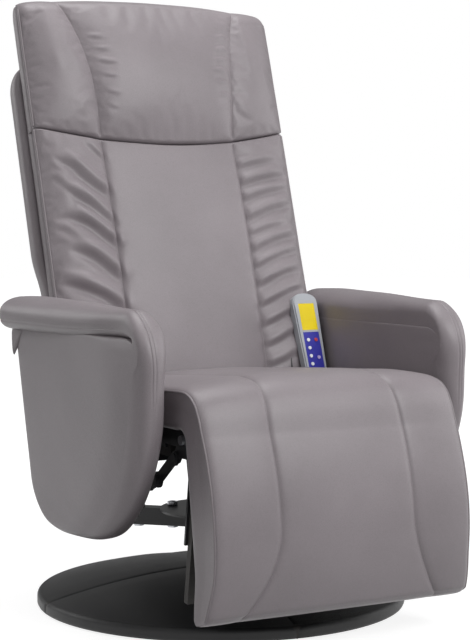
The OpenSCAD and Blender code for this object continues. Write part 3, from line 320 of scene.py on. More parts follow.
def skin(name, rings, material, ends="zip"):
    """Closed skin over rows of rings. ends: zip joins each end ring's upper to its lower half, fan closes it
    to a middle point, none leaves it open. UVs run in metres around and along."""
    rows, cols, _ = rings.shape
    around = run_lengths(np.concatenate([rings, rings[:, :1]], axis=1), 1)
    along = run_lengths(rings, 0)
    along = np.concatenate([along, along[:, :1]], axis=1)
    points = list(rings.reshape(-1, 3))
    faces, uvs = [], []
    for r in range(rows - 1):
        for c in range(cols):
            d = (c + 1) % cols
            faces.append((r * cols + c, r * cols + d, (r + 1) * cols + d, (r + 1) * cols + c))
            uvs += [(around[i, j], along[i, j]) for i, j in ((r, c), (r, c + 1), (r + 1, c + 1), (r + 1, c))]
    for row, flip in ((0, True), (rows - 1, False)):
        if ends == "none":
            continue
        at = row * cols
        if ends == "zip":
            quads = [(c, c + 1, cols - 2 - c, cols - 1 - c) for c in range(cols // 2 - 1)]
        else:
            points.append(rings[row].mean(axis=0))
            quads = [(c, (c + 1) % cols, len(points) - 1 - at) for c in range(cols)]
        for quad in quads:
            quad = quad[::-1] if flip else quad
            faces.append(tuple(at + i for i in quad))
            uvs += [(around[row, min(i, cols)] if i < cols else 0.0, along[row, 0]) for i in quad]
    if inside_out(points, faces):
        start, turned = 0, []
        for i, face in enumerate(faces):
            turned += uvs[start:start + len(face)][::-1]
            start += len(face)
            faces[i] = face[::-1]
        uvs = turned
    return link_mesh(name, points, faces, material, uvs)


def tube(name, path, radius, material, sides=8):
    """A closed tube along a list of points, with rounded ends."""
    path = np.asarray(path, float)
    count = len(path)
    ahead = np.gradient(path, axis=0)
    ahead /= np.linalg.norm(ahead, axis=1)[:, None]
    side = np.cross(ahead[0], (0.13, 0.2, 0.97))
    side /= np.linalg.norm(side)
    rings = np.zeros((count, sides, 3))
    turn = np.arange(sides) * 2 * math.pi / sides
    for i in range(count):
        side = side - ahead[i] * side.dot(ahead[i])
        side /= np.linalg.norm(side)
        up = np.cross(ahead[i], side)
        shrink = 0.5 if i in (0, count - 1) else 1.0
        rings[i] = path[i] + shrink * radius * (np.outer(np.cos(turn), side) + np.outer(np.sin(turn), up))
    return skin(name, rings[:, ::-1], material, "fan")


def outward(points):
    """Unit normals of a grid of points, rows along and columns around, pointing away from the rows' middles."""
    along = np.gradient(points, axis=0)
    around = np.gradient(points, axis=1)
    n = np.cross(around, along)
    if (n * (points - points.mean(axis=1, keepdims=True))).sum() < 0:
        n = -n
    return n / np.maximum(np.linalg.norm(n, axis=2), 1e-9)[:, :, None]


def waved(points, amount, scale, seed):
    """The grid with the slow unevenness of upholstery, amount to either side."""
    field = np.array([noise.noise(Vector(p) * scale + Vector((seed, 0, 0))) for p in points.reshape(-1, 3)])
    return points + outward(points) * (amount * field.reshape(points.shape[:2]))[:, :, None]


def stuffed(piece, held, cap, pressure, slack=0.0, frames=20):
    """Blows the closed piece up as cloth with the held grid points kept still, and applies the result to its
    mesh; no point moves farther than cap. slack is the share by which the cloth is cut too large."""
    scene = bpy.context.scene
    trial = piece.copy()
    trial.data = piece.data.copy()
    scene.collection.objects.link(trial)
    count = len(trial.data.vertices)
    fixed = np.ones(count, bool)
    fixed[:held.size] = held.ravel()
    group = trial.vertex_groups.new(name="held")
    group.add([int(i) for i in np.flatnonzero(fixed)], 1.0, "REPLACE")
    cloth = trial.modifiers.new("stuffing", "CLOTH")
    settings = cloth.settings
    settings.quality = 6
    settings.mass = 0.12
    settings.tension_stiffness = settings.compression_stiffness = 15
    settings.shear_stiffness = 6
    settings.bending_stiffness = 0.6
    settings.use_pressure = True
    settings.uniform_pressure_force = pressure
    settings.vertex_group_mass = "held"
    settings.shrink_min = -slack
    settings.effector_weights.gravity = 0
    cloth.collision_settings.use_collision = False
    cloth.point_cache.frame_start = 1
    cloth.point_cache.frame_end = frames
    for step in range(1, frames + 1):
        scene.frame_set(step)
    graph = bpy.context.evaluated_depsgraph_get()
    blown = trial.evaluated_get(graph)
    mesh = blown.to_mesh()
    start, end = np.empty(count * 3), np.empty(count * 3)
    piece.data.vertices.foreach_get("co", start)
    mesh.vertices.foreach_get("co", end)
    blown.to_mesh_clear()
    shift = (end - start).reshape(-1, 3)
    size = np.linalg.norm(shift, axis=1)
    shift *= np.minimum(1, cap / np.maximum(size, 1e-9))[:, None]
    piece.data.vertices.foreach_set("co", start + shift.ravel())
    piece.data.update()
    spare = trial.data
    bpy.data.objects.remove(trial)
    bpy.data.meshes.remove(spare)
    scene.frame_set(1)
    return piece


# The cord from the clip, up behind the handset and round to its foot: the same points as the solid's route
CORD_ROUTE_MM = [
    (238, 65, 322), (238, 64.5, 336), (237.5, 62.5, 350), (236.5, 60, 364), (234.5, 62, 378),
    (231, 65.5, 392), (225.5, 69.5, 405), (218, 73, 417), (209, 74.8, 425), (200, 74.8, 428),
    (192, 73, 425.5), (186, 69.5, 417), (182.5, 64.5, 405), (181.5, 59.5, 392), (182, 55, 379),
    (184, 50.5, 367), (188, 46.5, 356.5), (194, 43, 349.5), (202, 40, 345.5), (210, 37, 344.5),
    (217, 35, 347), (220.5, 35, 352), (221, 36, 357), (221, 37.6, 361.8),
]
CORD_DIAMETER = 0.0036


def catmull_rom(points, steps):
    """One smooth curve through the points."""
    p = np.asarray(points, float)
    p = np.concatenate([p[:1], p, p[-1:]])
    out = []
    for a, b, c, d in zip(p, p[1:], p[2:], p[3:]):
        for t in np.arange(steps) / steps:
            out.append(0.5 * (2 * b + t * (c - a) + t * t * (2 * a - 5 * b + 4 * c - d)
                              + t ** 3 * (3 * b - a - 3 * c + d)))
    return np.array(out + [p[-1]])


cord_line = catmull_rom(np.array(CORD_ROUTE_MM) * MM, 4)
cord_curve = bpy.data.curves.new("handset_lead", "CURVE")
cord_curve.dimensions = "3D"
cord_spline = cord_curve.splines.new("POLY")
cord_spline.points.add(len(cord_line) - 1)
for spline_point, at in zip(cord_spline.points, cord_line):
    spline_point.co = (*at, 1)
cord_curve.bevel_depth = CORD_DIAMETER / 2
cord_curve.bevel_resolution = 4
cord_curve.use_fill_caps = True
cord_curve.materials.append(black_plastic)
handset_lead = put("handset_lead", cord_curve)
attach(handset_lead, "chassis")
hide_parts("handset_cord")


# Driving places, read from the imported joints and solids
def joint_place(name):
    """A joint's place as [y, z]."""
    found = next(j for j in frame["joints"] if j["name"] == name)
    return np.array(found["pos_m"][1:], float)


hinge_f = joint_place("footrest_lift")
hinge_b = joint_place("recline")
seat_low, seat_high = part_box("seat_pad")
seat_z = seat_low.z
seat_half = seat_high.x
SEAT_DEPTH = 0.308
SEAT_EDGE = 0.065
SEAT_FALL = 0.019
SEAT_CROWN = 0.016
CROWN_LOSS = 0.005
REAR_ROUND = 0.012
REAR_RISE = 0.020
KNEE_SWELL = 0.010
KNEE_DENT = 0.0004
SEAT_SEAM, KNEE_SEAM, FOOT_SEAM = 0.108, 0.112, 0.122
FULL_GROOVE, FAINT_GROOVE = 0.0036, 0.0008
FOOT_LEAN = math.radians(8)
FOOT_REAR = 0.030
FOOT_LENGTH = 0.276
FOOT_EDGE = 0.068
FOOT_CROWN = 0.009
FOOT_SWELL = 0.018
FOOT_END = 0.975
FOOT_ROUND = 0.012
FOOT_FLARE = 0.006
FOOT_THIN = 0.020
foot_down = np.array([-math.sin(FOOT_LEAN), -math.cos(FOOT_LEAN)])
foot_out = np.array([-math.cos(FOOT_LEAN), math.sin(FOOT_LEAN)])


# Offsets of the columns of vertices beside a sewn seam
SEAM_OFFSETS = np.array([1.2, 2.6, 4.6, 7.5, 12]) * MM


# How far a boxed cushion's sides are drawn in at half height
SIDE_DRAW = 0.003
WELT_RADIUS = 0.0021


def half_columns(half, seam, inner, outer):
    """Places across half a cushion for each row, from the middle to the edge, close together at the seam."""
    reach = SEAM_OFFSETS[-1]
    first = np.linspace(0, 1, inner)[:-1] * (seam - reach)
    near = np.concatenate([-SEAM_OFFSETS[::-1], [0], SEAM_OFFSETS]) + seam
    ease = np.sin(np.linspace(0, math.pi / 2, outer))
    last = seam + reach + ease[1:] * (half - seam - reach)
    return np.concatenate([first, near, last], axis=1)


def boxed_section(half, edge, crown, seam, groove, puff, round_x, round_n=0.010, inner=15, outer=13,
                  side_seam=0.0):
    """Rows of a boxed cushion's section as x and n: crowned top with two sewn grooves from left to right,
    then the flat underside back. Returns x, n and the columns of the two edges and the two grooves."""
    half, edge, crown, seam, puff = (
        np.array(v, float)[:, None] for v in np.broadcast_arrays(half, edge, crown, seam, puff))
    x = half_columns(half, seam, inner, outer)
    f = np.clip(x / half, 0, 1)
    into = np.clip((x - (half - round_x)) / round_x, 0, 1)
    top = edge + crown * (1 - f ** 2.6) - round_n * (1 - np.sqrt(1 - into ** 2 * 0.998))
    top -= groove * np.exp(-(np.abs(x - seam) / 0.0042) ** 1.1)
    middle = np.clip(np.abs(x) / seam, 0, 1)
    bolster = np.clip((x - seam) / (half - seam), 0, 1)
    top += puff * np.where(x < seam, 1 - middle ** 4, 4 * bolster * (1 - bolster))
    share = np.array([[0.10, 0.24, 0.38, 0.45, 0.49, 0.53, 0.60, 0.74, 0.88, 1.0]])
    side_x = half - SIDE_DRAW * np.sin(math.pi * share) - side_seam * np.exp(-((share - 0.49) / 0.045) ** 2)
    side_n = top[:, -1:] * (1 - share)
    upper = share.shape[1] // 2
    right_x = np.concatenate([x, side_x[:, :upper]], axis=1)
    right_n = np.concatenate([top, side_n[:, :upper]], axis=1)
    left_x, left_n = -right_x[:, :0:-1], right_n[:, :0:-1]
    top_x = np.concatenate([left_x, right_x], axis=1)
    top_n = np.concatenate([left_n, right_n], axis=1)
    low_side_x, low_side_n = side_x[:, upper:-1], side_n[:, upper:-1]
    flat = top_x.shape[1] - 2 * low_side_x.shape[1]
    under = np.linspace(1, -1, flat) * (half - 0.004)
    low_x = np.concatenate([low_side_x, under, -low_side_x[:, ::-1]], axis=1)
    low_n = np.concatenate([low_side_n, np.zeros_like(under), low_side_n[:, ::-1]], axis=1)
    centre = left_x.shape[1]
    seam_col = inner - 1 + len(SEAM_OFFSETS)
    edge_col = x.shape[1] - 1
    marks = {"edges": (centre - edge_col, centre + edge_col), "seams": (centre - seam_col, centre + seam_col)}
    return np.concatenate([top_x, low_x], axis=1), np.concatenate([top_n, low_n], axis=1), marks


def held_grid(rings, marks, ends, smooth_middle):
    """Grid points that stay still while a cushion is blown up: its seams, edges, sides, underside and ends, and
    the panel between the seams if that is to stay smooth."""
    held = np.ones(rings.shape[:2], bool)
    held[ends:-ends, marks["edges"][0] + 2:marks["edges"][1] - 1] = False
    for column in marks["seams"]:
        held[:, column - 1:column + 2] = True
    if smooth_middle:
        held[:, marks["seams"][0]:marks["seams"][1] + 1] = True
    return held


def place_rings(x, n, foot, direction):
    """Sections into space: foot and direction are [y, z] for each row."""
    return np.stack([x, foot[:, :1] + n * direction[:, :1], foot[:, 1:] + n * direction[:, 1:]], axis=2)


def welts(name, rings, marks, rows, lift):
    """The piped edges of a cushion, left and right."""
    return [tube(f"{name}_{side}", rings[rows, column] + lift * outward(rings)[rows, column], WELT_RADIUS,
                 welt_leather) for side, column in zip(("left", "right"), marks["edges"])]


def finished(piece):
    """Subdivides the piece's own mesh once."""
    modifier = piece.modifiers.new("subdivision", "SUBSURF")
    modifier.levels = modifier.render_levels = 1
    graph = bpy.context.evaluated_depsgraph_get()
    mesh = bpy.data.meshes.new_from_object(piece.evaluated_get(graph), depsgraph=graph)
    piece.modifiers.clear()
    old = piece.data
    piece.data = mesh
    mesh.name = piece.name
    bpy.data.meshes.remove(old)
    return piece


# Seat, knee and footrest: one cover over the hinge
def front_seam(f):
    """Half spacing of the footrest's two sewn lines, which spread toward its foot."""
    return FOOT_SEAM + 0.056 * np.clip((f - 0.52) / 0.48, 0, 1) ** 1.8


def front_rows():
    """Sections from the rear of the seat to the foot of the footrest, as an array for each of row's arguments;
    foot is the underside's place as [y, z]."""
    rows = []

    def row(foot, direction, edge, crown, seam, half, pull=0.0, groove=FULL_GROOVE):
        rows.append((foot, direction, edge, crown, seam, half, pull, groove))

    # Rounded rear end, seat, knee, footrest, rounded foot end
    rear = hinge_f[0] + SEAT_DEPTH
    for k in np.linspace(0, 1, 5)[:-1]:
        end = math.sqrt(1 - (1 - k) ** 2)
        lift = REAR_RISE * (1 - end)
        row((rear - REAR_ROUND * k, seat_z + lift), (0, 1), (SEAT_EDGE - SEAT_FALL) * (0.25 + 0.75 * end) - lift,
            (SEAT_CROWN - CROWN_LOSS) * (0.3 + 0.7 * end), SEAT_SEAM, seat_half - 0.006 * (1 - end), 1.0,
            FAINT_GROOVE)
    for f in np.linspace(0.04, 0.985, 48):
        row((rear - f * SEAT_DEPTH, seat_z), (0, 1), SEAT_EDGE - SEAT_FALL * (1 - f),
            SEAT_CROWN - CROWN_LOSS * (1 - f), SEAT_SEAM + (KNEE_SEAM - SEAT_SEAM) * f, seat_half,
            (1 - min(1, f / 0.4)) ** 1.5, FAINT_GROOVE + (FULL_GROOVE - FAINT_GROOVE) * eased((f - 0.45) / 0.5))
    seat_under = seat_z - hinge_f[1]
    seat_over, foot_over = seat_under + SEAT_EDGE, FOOT_REAR + FOOT_EDGE
    for f in np.linspace(0, 1, 25):
        a = math.pi / 2 - f * (math.pi / 2 - FOOT_LEAN)
        direction = np.array([-math.cos(a), math.sin(a)])
        low = seat_under + f * (FOOT_REAR - seat_under)
        high = seat_over + (foot_over - seat_over) * f ** 2
        high += KNEE_SWELL * math.sin(math.pi * f) ** 2 - KNEE_DENT * math.exp(-((f - 0.70) / 0.05) ** 2)
        row(hinge_f + low * direction, direction, high - low, SEAT_CROWN - (SEAT_CROWN - FOOT_CROWN) * f,
            KNEE_SEAM + (FOOT_SEAM - KNEE_SEAM) * eased(f), seat_half)
    for f in np.linspace(0.022, FOOT_END, 42):
        thick = FOOT_EDGE + FOOT_SWELL * math.sin(math.pi * f ** 0.9) - FOOT_THIN * f ** 5
        row(hinge_f + f * FOOT_LENGTH * foot_down + FOOT_REAR * foot_out, foot_out, thick, FOOT_CROWN,
            float(front_seam(f)), seat_half + FOOT_FLARE * eased((f - 0.72) / 0.28))
    for k in np.linspace(0, 1, 6)[1:]:
        end = math.sqrt(1 - k ** 2 * 0.97)
        s = FOOT_LENGTH * FOOT_END + FOOT_ROUND * k
        row(hinge_f + s * foot_down + (FOOT_REAR + 0.006 * (1 - end)) * foot_out, foot_out,
            (FOOT_EDGE - FOOT_THIN) * (0.15 + 0.85 * end), FOOT_CROWN * end, float(front_seam(1)),
            seat_half + FOOT_FLARE - 0.004 * (1 - end))
    return [np.array(value, float) for value in zip(*rows)]


HANDSET_LEAN = math.radians(19)
HANDSET_FOOT = np.array([0.221, 0.051, seat_z + 0.030])
HANDSET_THICK = 0.020
HANDSET_ROOM = 0.0025
# Half width beside the handset's middle that makes full room for it, and the width over which that fades
HANDSET_BESIDE = 0.030
HANDSET_FADE = 0.014


def clear_of_handset(points):
    """Moves seat points that would lie inside the handset forward of its face."""
    y, z = points[..., 1] - HANDSET_FOOT[1], points[..., 2] - HANDSET_FOOT[2]
    out_of_face = -y * math.cos(HANDSET_LEAN) + z * math.sin(HANDSET_LEAN)
    lack = np.maximum(0, HANDSET_THICK + HANDSET_ROOM - out_of_face)
    beside = np.abs(points[..., 0] - HANDSET_FOOT[0])
    near = 1 - smooth((beside - HANDSET_BESIDE) / HANDSET_FADE)
    points[..., 1] -= lack * near / math.cos(HANDSET_LEAN)
    return points


def front_cover():
    """The cover and its two piped edges; its rear end leans back, with corners drawn forward."""
    foot, direction, edge, crown, seam, half, pull, groove = front_rows()
    x, n, marks = boxed_section(half, edge, crown, seam, groove[:, None], 0.003, round_x=0.011, round_n=0.005)
    rings = waved(place_rings(x, n, foot, direction), 0.0009, 8.0, 5.0)
    rings[..., 1] += pull[:, None] * (0.018 * n / SEAT_EDGE - 0.030 * np.abs(x / seat_half) ** 3)
    rings = clear_of_handset(rings)
    return skin("front_cover", rings, leather), welts("front_welt", rings, marks, slice(3, -3), 0.0004)


front, front_welts = front_cover()
finished(front)
# The cover and its welts, with their placement applied to their meshes
for piece in [front, *front_welts]:
    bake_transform(piece)
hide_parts("seat_pad", "knee_pad", "footrest_pad")


# Back: coordinates are x across, v up from the pivot, w back from the front edge plane
BACK_LEAN = math.radians(17.2)
PIVOT_W = 0.0814
back_up = np.array([math.sin(BACK_LEAN), math.cos(BACK_LEAN)])
back_out = np.array([math.cos(BACK_LEAN), -math.sin(BACK_LEAN)])
back_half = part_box("lumbar_pad")[1].x
BACK_EDGE = 0.046
BACK_BOTTOM = 0.014
BACK_SEAM = 0.134
BACK_GROOVE = 0.0052
HEADREST_V = 0.497
BACK_TOP = 0.738
SHELL_TOP = 0.625
SHELL_THICK = 0.048
SHELL_WALL = 0.011
SHELL_BULGE = 0.010
SEAM_DIP = 0.033


def back_points(x, v, w):
    """Back coordinates into space."""
    y = hinge_b[0] + v * back_up[0] + (w - PIVOT_W) * back_out[0]
    z = hinge_b[1] + v * back_up[1] + (w - PIVOT_W) * back_out[1]
    return np.stack([x, y, z], axis=2)


def ridge(x, v, ax, av, bx, bv, width, height):
    """One long soft fold from a to b, highest in its middle, with a sharper valley on one side."""
    length = math.hypot(bx - ax, bv - av)
    tx, tv = (bx - ax) / length, (bv - av) / length
    s = ((x - ax) * tx + (v - av) * tv) / length
    d = -(x - ax) * tv + (v - av) * tx
    d = d + 0.25 * width * np.sin(5 * s + 9 * av)
    along = smooth((s + 0.18) / 0.5) * smooth((1.16 - s) / 0.42)
    profile = np.exp(-(d / width) ** 2) - 0.6 * np.exp(-((d + width * 1.35) / (0.8 * width)) ** 2)
    return 1.35 * height * along * profile


# Long folds of the lower back's side panels, each as x and v of its start and end, width and height in
# millimetres: left ones run down to the seam, right ones rise from it
LEFT_FOLDS = [
    (-216, 446, -128, 376, 12, 7.0), (-204, 384, -127, 322, 11, 7.0), (-208, 342, -124, 284, 12, 7.5),
    (-212, 288, -124, 224, 13, 7.5), (-236, 232, -124, 166, 13, 7.0), (-214, 172, -126, 116, 12, 5.5),
    (-236, 410, -190, 372, 8, 2.2), (-238, 320, -196, 290, 8, 2.4), (-168, 470, -128, 440, 8, 3.6),
    (-222, 118, -130, 62, 12, 4.0),
]
RIGHT_FOLDS = [
    (128, 424, 214, 450, 8, 3.6), (128, 392, 230, 424, 9, 5.2), (128, 362, 232, 396, 8, 4.8),
    (130, 326, 238, 368, 9, 5.4), (130, 296, 214, 322, 7, 3.8), (130, 268, 240, 308, 9, 5.2),
    (130, 236, 242, 276, 8, 4.8), (130, 204, 240, 240, 9, 5.0), (130, 166, 236, 202, 8, 4.6),
    (130, 130, 234, 164, 8, 4.2), (130, 92, 220, 122, 8, 3.6), (130, 56, 220, 84, 8, 3.0),
]
# Short gathers of the headrest's middle, beside its two sewn lines
HEAD_PUCKERS = [
    (-139, 664, -112, 657, 4.4, 2.2), (-131, 638, -104, 634, 4.0, 1.8), (-128, 615, -96, 609, 4.6, 2.4),
    (-124, 588, -98, 584, 4.0, 1.9), (-120, 558, -98, 553, 4.0, 1.7), (-122, 534, -102, 528, 3.6, 1.3),
    (146, 676, 120, 668, 4.2, 3.0), (139, 650, 112, 643, 4.6, 3.6), (134, 628, 106, 622, 4.0, 3.2),
    (131, 606, 100, 602, 4.4, 3.4), (129, 583, 104, 580, 3.8, 3.0), (128, 560, 106, 555, 3.8, 2.4),
    (128, 536, 108, 531, 3.6, 1.3),
]
HEAD_FOLDS = [
    (-214, 724, -206, 590, 10, 2.6), (-184, 700, -168, 580, 11, 1.8), (188, 716, 182, 590, 10, 2.4),
    (214, 700, 216, 560, 9, 2.0), (-150, 556, -172, 516, 9, 1.6), (150, 556, 170, 516, 9, 1.6),
]


def folds_of(listed):
    """A function of x and v that sums the listed folds."""
    def total(x, v):
        return sum(ridge(x, v, *row) for row in np.array(listed) * MM)
    return total


def back_cushion(name, v_line, edge_scale, crown, seam, dip, folds, half, tight):
    """Rings of a cushion of the back; tight fades its sewn grooves toward the ends."""
    x, n, marks = boxed_section(half, BACK_EDGE * edge_scale, crown * edge_scale, seam, BACK_GROOVE * (1 - tight),
                                0.004, round_x=0.014, inner=20, outer=22, side_seam=0.0022)
    v = v_line[:, None] - dip[:, None] * (1 - (x / back_half) ** 2)
    lo, hi = marks["edges"]
    share = np.clip((back_half - np.abs(x)) / 0.016, 0, 1)
    on_top = np.zeros_like(n)
    on_top[:, lo:hi + 1] = share[:, lo:hi + 1]
    beside = 1 - 0.85 * np.exp(-(np.abs(np.abs(x) - np.asarray(seam)[:, None]) / 0.004) ** 2)
    n = n + folds(x, v) * on_top * beside * edge_scale[:, None]
    rings = back_points(x, v, BACK_EDGE - n)
    return waved(rings, 0.0008, 11.0, len(name)), marks


def end_rows(first, last, count, low_len, high_len):
    """Rows between two ends, with close rows rounded off at each end: places and thickness shares."""
    turn = np.linspace(0, math.pi / 2, 8)
    places = [*(first + low_len * (1 - np.cos(turn[:-1]))), *np.linspace(first + low_len, last - high_len, count),
              *(last - high_len * (1 - np.sin(turn[1:])))]
    shares = [*np.sin(turn[:-1]), *np.ones(count), *np.cos(turn[1:])]
    return np.array(places), np.array(shares)


def lumbar_cushion():
    """Rings of the lower cushion."""
    v, share = end_rows(BACK_BOTTOM, HEADREST_V - 0.0002, 88, 0.016, 0.006)
    f = np.clip((v - BACK_BOTTOM) / (HEADREST_V - BACK_BOTTOM), 0, 1)
    crown = 0.012 + 0.010 * np.sin(math.pi * f)
    scale = np.where(f < 0.5, 0.62 + 0.38 * share, 0.84 + 0.16 * share)
    return back_cushion("lumbar", v, scale, crown, np.full_like(v, BACK_SEAM), SEAM_DIP * f ** 4,
                        folds_of(LEFT_FOLDS + RIGHT_FOLDS), np.full_like(v, back_half),
                        smooth((f - 0.97) / 0.03)[:, None])


def headrest_cushion():
    """Rings of the headrest, whose lower edge meets the lower cushion in a dipping line."""
    v, share = end_rows(HEADREST_V + 0.0004, BACK_TOP, 58, 0.006, 0.030)
    f = np.clip((v - HEADREST_V) / (BACK_TOP - HEADREST_V), 0, 1)
    crown = 0.012 + 0.022 * np.sin(math.pi * f ** 0.75)
    scale = np.where(f < 0.5, 0.84 + 0.16 * share, 0.30 + 0.70 * share)
    seam = BACK_SEAM + 0.016 * f + 0.036 * f ** 3
    dip = SEAM_DIP * (1 - f) ** 4 - 0.010 * f
    half = back_half - np.where(f > 0.5, 0.009 * (1 - share), 0.0)
    return back_cushion("headrest", v, scale, crown, seam, dip, folds_of(HEAD_PUCKERS + HEAD_FOLDS), half,
                        np.maximum(smooth((0.03 - f) / 0.03), smooth((f - 0.90) / 0.08))[:, None])


back_pieces = []
for piece_name, (rings, marks), stands_for in (("lumbar_cushion", lumbar_cushion(), "lumbar_pad"),
                                               ("headrest_cushion", headrest_cushion(), "headrest_pad")):
    cushion = skin(piece_name, rings, leather)
    stuffed(cushion, held_grid(rings, marks, 6, stands_for == "lumbar_pad"), cap=0.010, pressure=4.0, slack=0.010)
    finished(cushion)
    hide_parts(stands_for)
    back_pieces += [cushion, *welts(f"{piece_name}_welt", rings, marks, slice(4, -5), 0.0006)]


def shell_tray():
    """Rear shell: an outer skin, and an inner one that leaves room for the wooden frame."""
    v, share = (line[:, None] for line in end_rows(BACK_BOTTOM + 0.001, SHELL_TOP, 60, 0.004, 0.046))
    thick = SHELL_THICK * np.where(v < 0.1, 1.0, 0.30 + 0.70 * share)
    swell = SHELL_BULGE * smooth((v - 0.204) / 0.080) - 0.022 * (1 - share) * (v > 0.3)
    t = np.linspace(-1, 1, 61)
    a = t * math.pi / 2
    power = 2 / 6.5
    px = np.sign(np.sin(a)) * np.abs(np.sin(a)) ** power
    pn = np.cos(a) ** power
    ox = px * (back_half - 0.001 + swell)
    on = pn * thick + 0.006 * (1 - px ** 2) * share
    seam_cut = 0.004 * np.exp(-((np.abs(ox) - 0.150) / 0.004) ** 2)
    on = on - seam_cut * (pn > 0.8)
    open_row = v < SHELL_TOP - 0.028
    ix = px[::-1] * (back_half - SHELL_WALL)
    inside = np.where(open_row, pn[::-1] * (thick - SHELL_WALL), 0.0)
    x = np.concatenate([ox, np.broadcast_to(ix, inside.shape)], axis=1)
    n = np.concatenate([on, inside], axis=1)
    return back_points(x, np.broadcast_to(v, x.shape), BACK_EDGE + n)


tray = finished(skin("back_tray", shell_tray(), leather))
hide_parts("back_shell")
back_pieces.append(tray)
for piece in back_pieces:
    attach(piece, "back")


# Arms
# ARM_X0 is the inner face, and PAD_SEAM the turn in degrees at which the cushion's side seam lies
ARM_X0 = 0.256
ARM_T = 0.060
ARM_PAD_Z = 0.474
ARM_PAD_T = 0.056
ARM_OVERHANG = 0.030
ARM_BOTTOM = 0.149
ARM_FRONT = -0.303
ARM_REAR = 0.172
PAD_REAR = 0.174
ROLL_R = 0.060
ROLL_Z = ARM_PAD_Z - ROLL_R
BAND_T = 0.003
BAND_FOOT = 0.205
NOSE_OUTER = 0.032
NOSE_INNER = 0.040
NOSE_TAPER = 0.010
HEEL_R = 0.024
ROLL_RISE = 0.010
PAD_LIFT = 0.008
PAD_SEAM = 346
PAD_LOW, PAD_HIGH = 0.47, 0.53
TWIN_SEAM = 0.0035
PANEL_ROUND = 0.016
PANEL_INSET = 0.017


def corner_in(t, power):
    """Share by which a rounded corner is drawn in, from 1 at its foot to 0."""
    return 1 - (1 - (1 - np.clip(t, 0, 1)) ** power) ** (1 / power)


def arm_rear(z):
    """Rear edge of the panel."""
    return ARM_REAR - 0.25 * (ARM_PAD_Z - z) - 0.108 * corner_in((z - ARM_BOTTOM) / 0.080, 2)


def arm_front(z):
    """Front edge of the arm, without its rolled top."""
    return ARM_FRONT + 0.03 * (ARM_PAD_Z - z) + 0.190 * corner_in((z - ARM_BOTTOM) / 0.230, 1.85)


def arm_roll(z):
    """How far the panel's front edge lies behind arm_front under the roll."""
    share = np.clip((z - ROLL_Z) / (ROLL_R + ROLL_RISE), 0, 1)
    return ROLL_R * (1 - np.sqrt(1 - share ** 2))


def nose_taper(y, z):
    """How far the outer side is drawn in toward the nose."""
    return NOSE_TAPER * smooth((arm_front(z) + arm_roll(z) + 0.10 - y) / 0.10)


def arm_panel_rings():
    """Rings of the side panel from its foot up: flat sides, a round nose and a round heel."""
    z = np.concatenate([
        ARM_BOTTOM + PANEL_ROUND * (1 - np.cos(np.linspace(0, math.pi / 2, 10)[:-1])),
        np.linspace(ARM_BOTTOM + PANEL_ROUND, ROLL_Z, 46),
        ROLL_Z + (ROLL_R + ROLL_RISE) * np.sin(np.radians([9, 18, 27, 36, 46, 57, 70, 84])),
    ])[:, None]
    rise = np.clip((z - ARM_BOTTOM) / 0.020, 0, 1)
    inset = PANEL_INSET * (1 - np.sqrt(rise * (2 - rise)))
    y0 = arm_front(z) + arm_roll(z) + inset
    y1 = arm_rear(z) - inset
    half = ARM_T / 2 - inset * 0.9
    fit = np.minimum(1, 0.96 * (y1 - y0) / (NOSE_INNER + HEEL_R))
    blunt = fit * (1 - 0.9 * smooth((z - 0.424) / 0.032))
    heel = HEEL_R * fit
    turn = np.linspace(0, math.pi, 27)
    cos, sin = np.cos(turn), np.sin(turn)
    share = np.linspace(0, 1, 15)[1:-1]
    heel_inner = 0.008 * fit
    front_x = half * np.sign(cos) * np.abs(cos) ** 0.92
    nose = np.where(cos > 0, NOSE_OUTER, NOSE_INNER) * blunt
    front_y = y0 + nose * (1 - sin ** 0.92)
    inner_y = (y0 + NOSE_INNER * blunt) * (1 - share) + (y1 - heel_inner) * share
    outer_y = (y0 + NOSE_OUTER * blunt) * (1 - share) + (y1 - heel) * share
    rear_x = -half * np.sign(cos) * np.abs(cos) ** 0.85
    round_y = np.where(cos > 0, heel_inner, heel)
    rear_y = y1 - round_y * (1 - sin ** 0.85)
    x = np.concatenate([front_x, np.repeat(-half, len(share), 1), rear_x,
                        np.repeat(half, len(share), 1)], axis=1)
    y = np.concatenate([front_y, inner_y, rear_y, outer_y[:, ::-1]], axis=1)
    level = np.broadcast_to(z, x.shape)
    x = x - nose_taper(y, level) * (x > 0) * x / half
    swell = 0.0016 * np.sin(math.pi * np.clip((level - 0.17) / 0.30, 0, 1)) * np.clip(
        (y - y0) * (y1 - y) / 0.02, 0, 1)
    puckers = sum(
        ridge(y, level, *ends, 0.0042, height) for *ends, height in (
            (-0.238, 0.474, -0.284, 0.452, 0.0016), (-0.232, 0.458, -0.280, 0.434, 0.0013),
            (-0.262, 0.476, -0.282, 0.434, 0.0011), (0.148, 0.466, 0.104, 0.428, 0.0012)))
    x = x + np.sign(x) * (swell + puckers * (np.abs(x) > 0.6 * half))
    return np.stack([ARM_X0 + ARM_T / 2 + x, y, level], axis=2)


def pad_angles():
    """Angles round the arm cushion: even, and close together at its sewn lines."""
    centre = [TWIN_SEAM + d for d in np.array([-2.2, -1.1, 0, 1.1, 2.2]) * MM]
    near_centre = [math.acos((d / 0.030) ** 1.15) for d in centre]
    side_seam = [math.radians(PAD_SEAM + d) for d in (-5, -2.5, 0, 2.5, 5)]
    spread = np.radians(np.arange(0, 360, 7.5))
    spread = spread[np.abs(spread - math.pi / 2) > 0.17]
    spread = spread[np.abs(spread - math.radians(PAD_SEAM)) > 0.11]
    return np.sort(np.concatenate([spread, near_centre, math.pi - np.array(near_centre), [math.pi / 2], side_seam]))


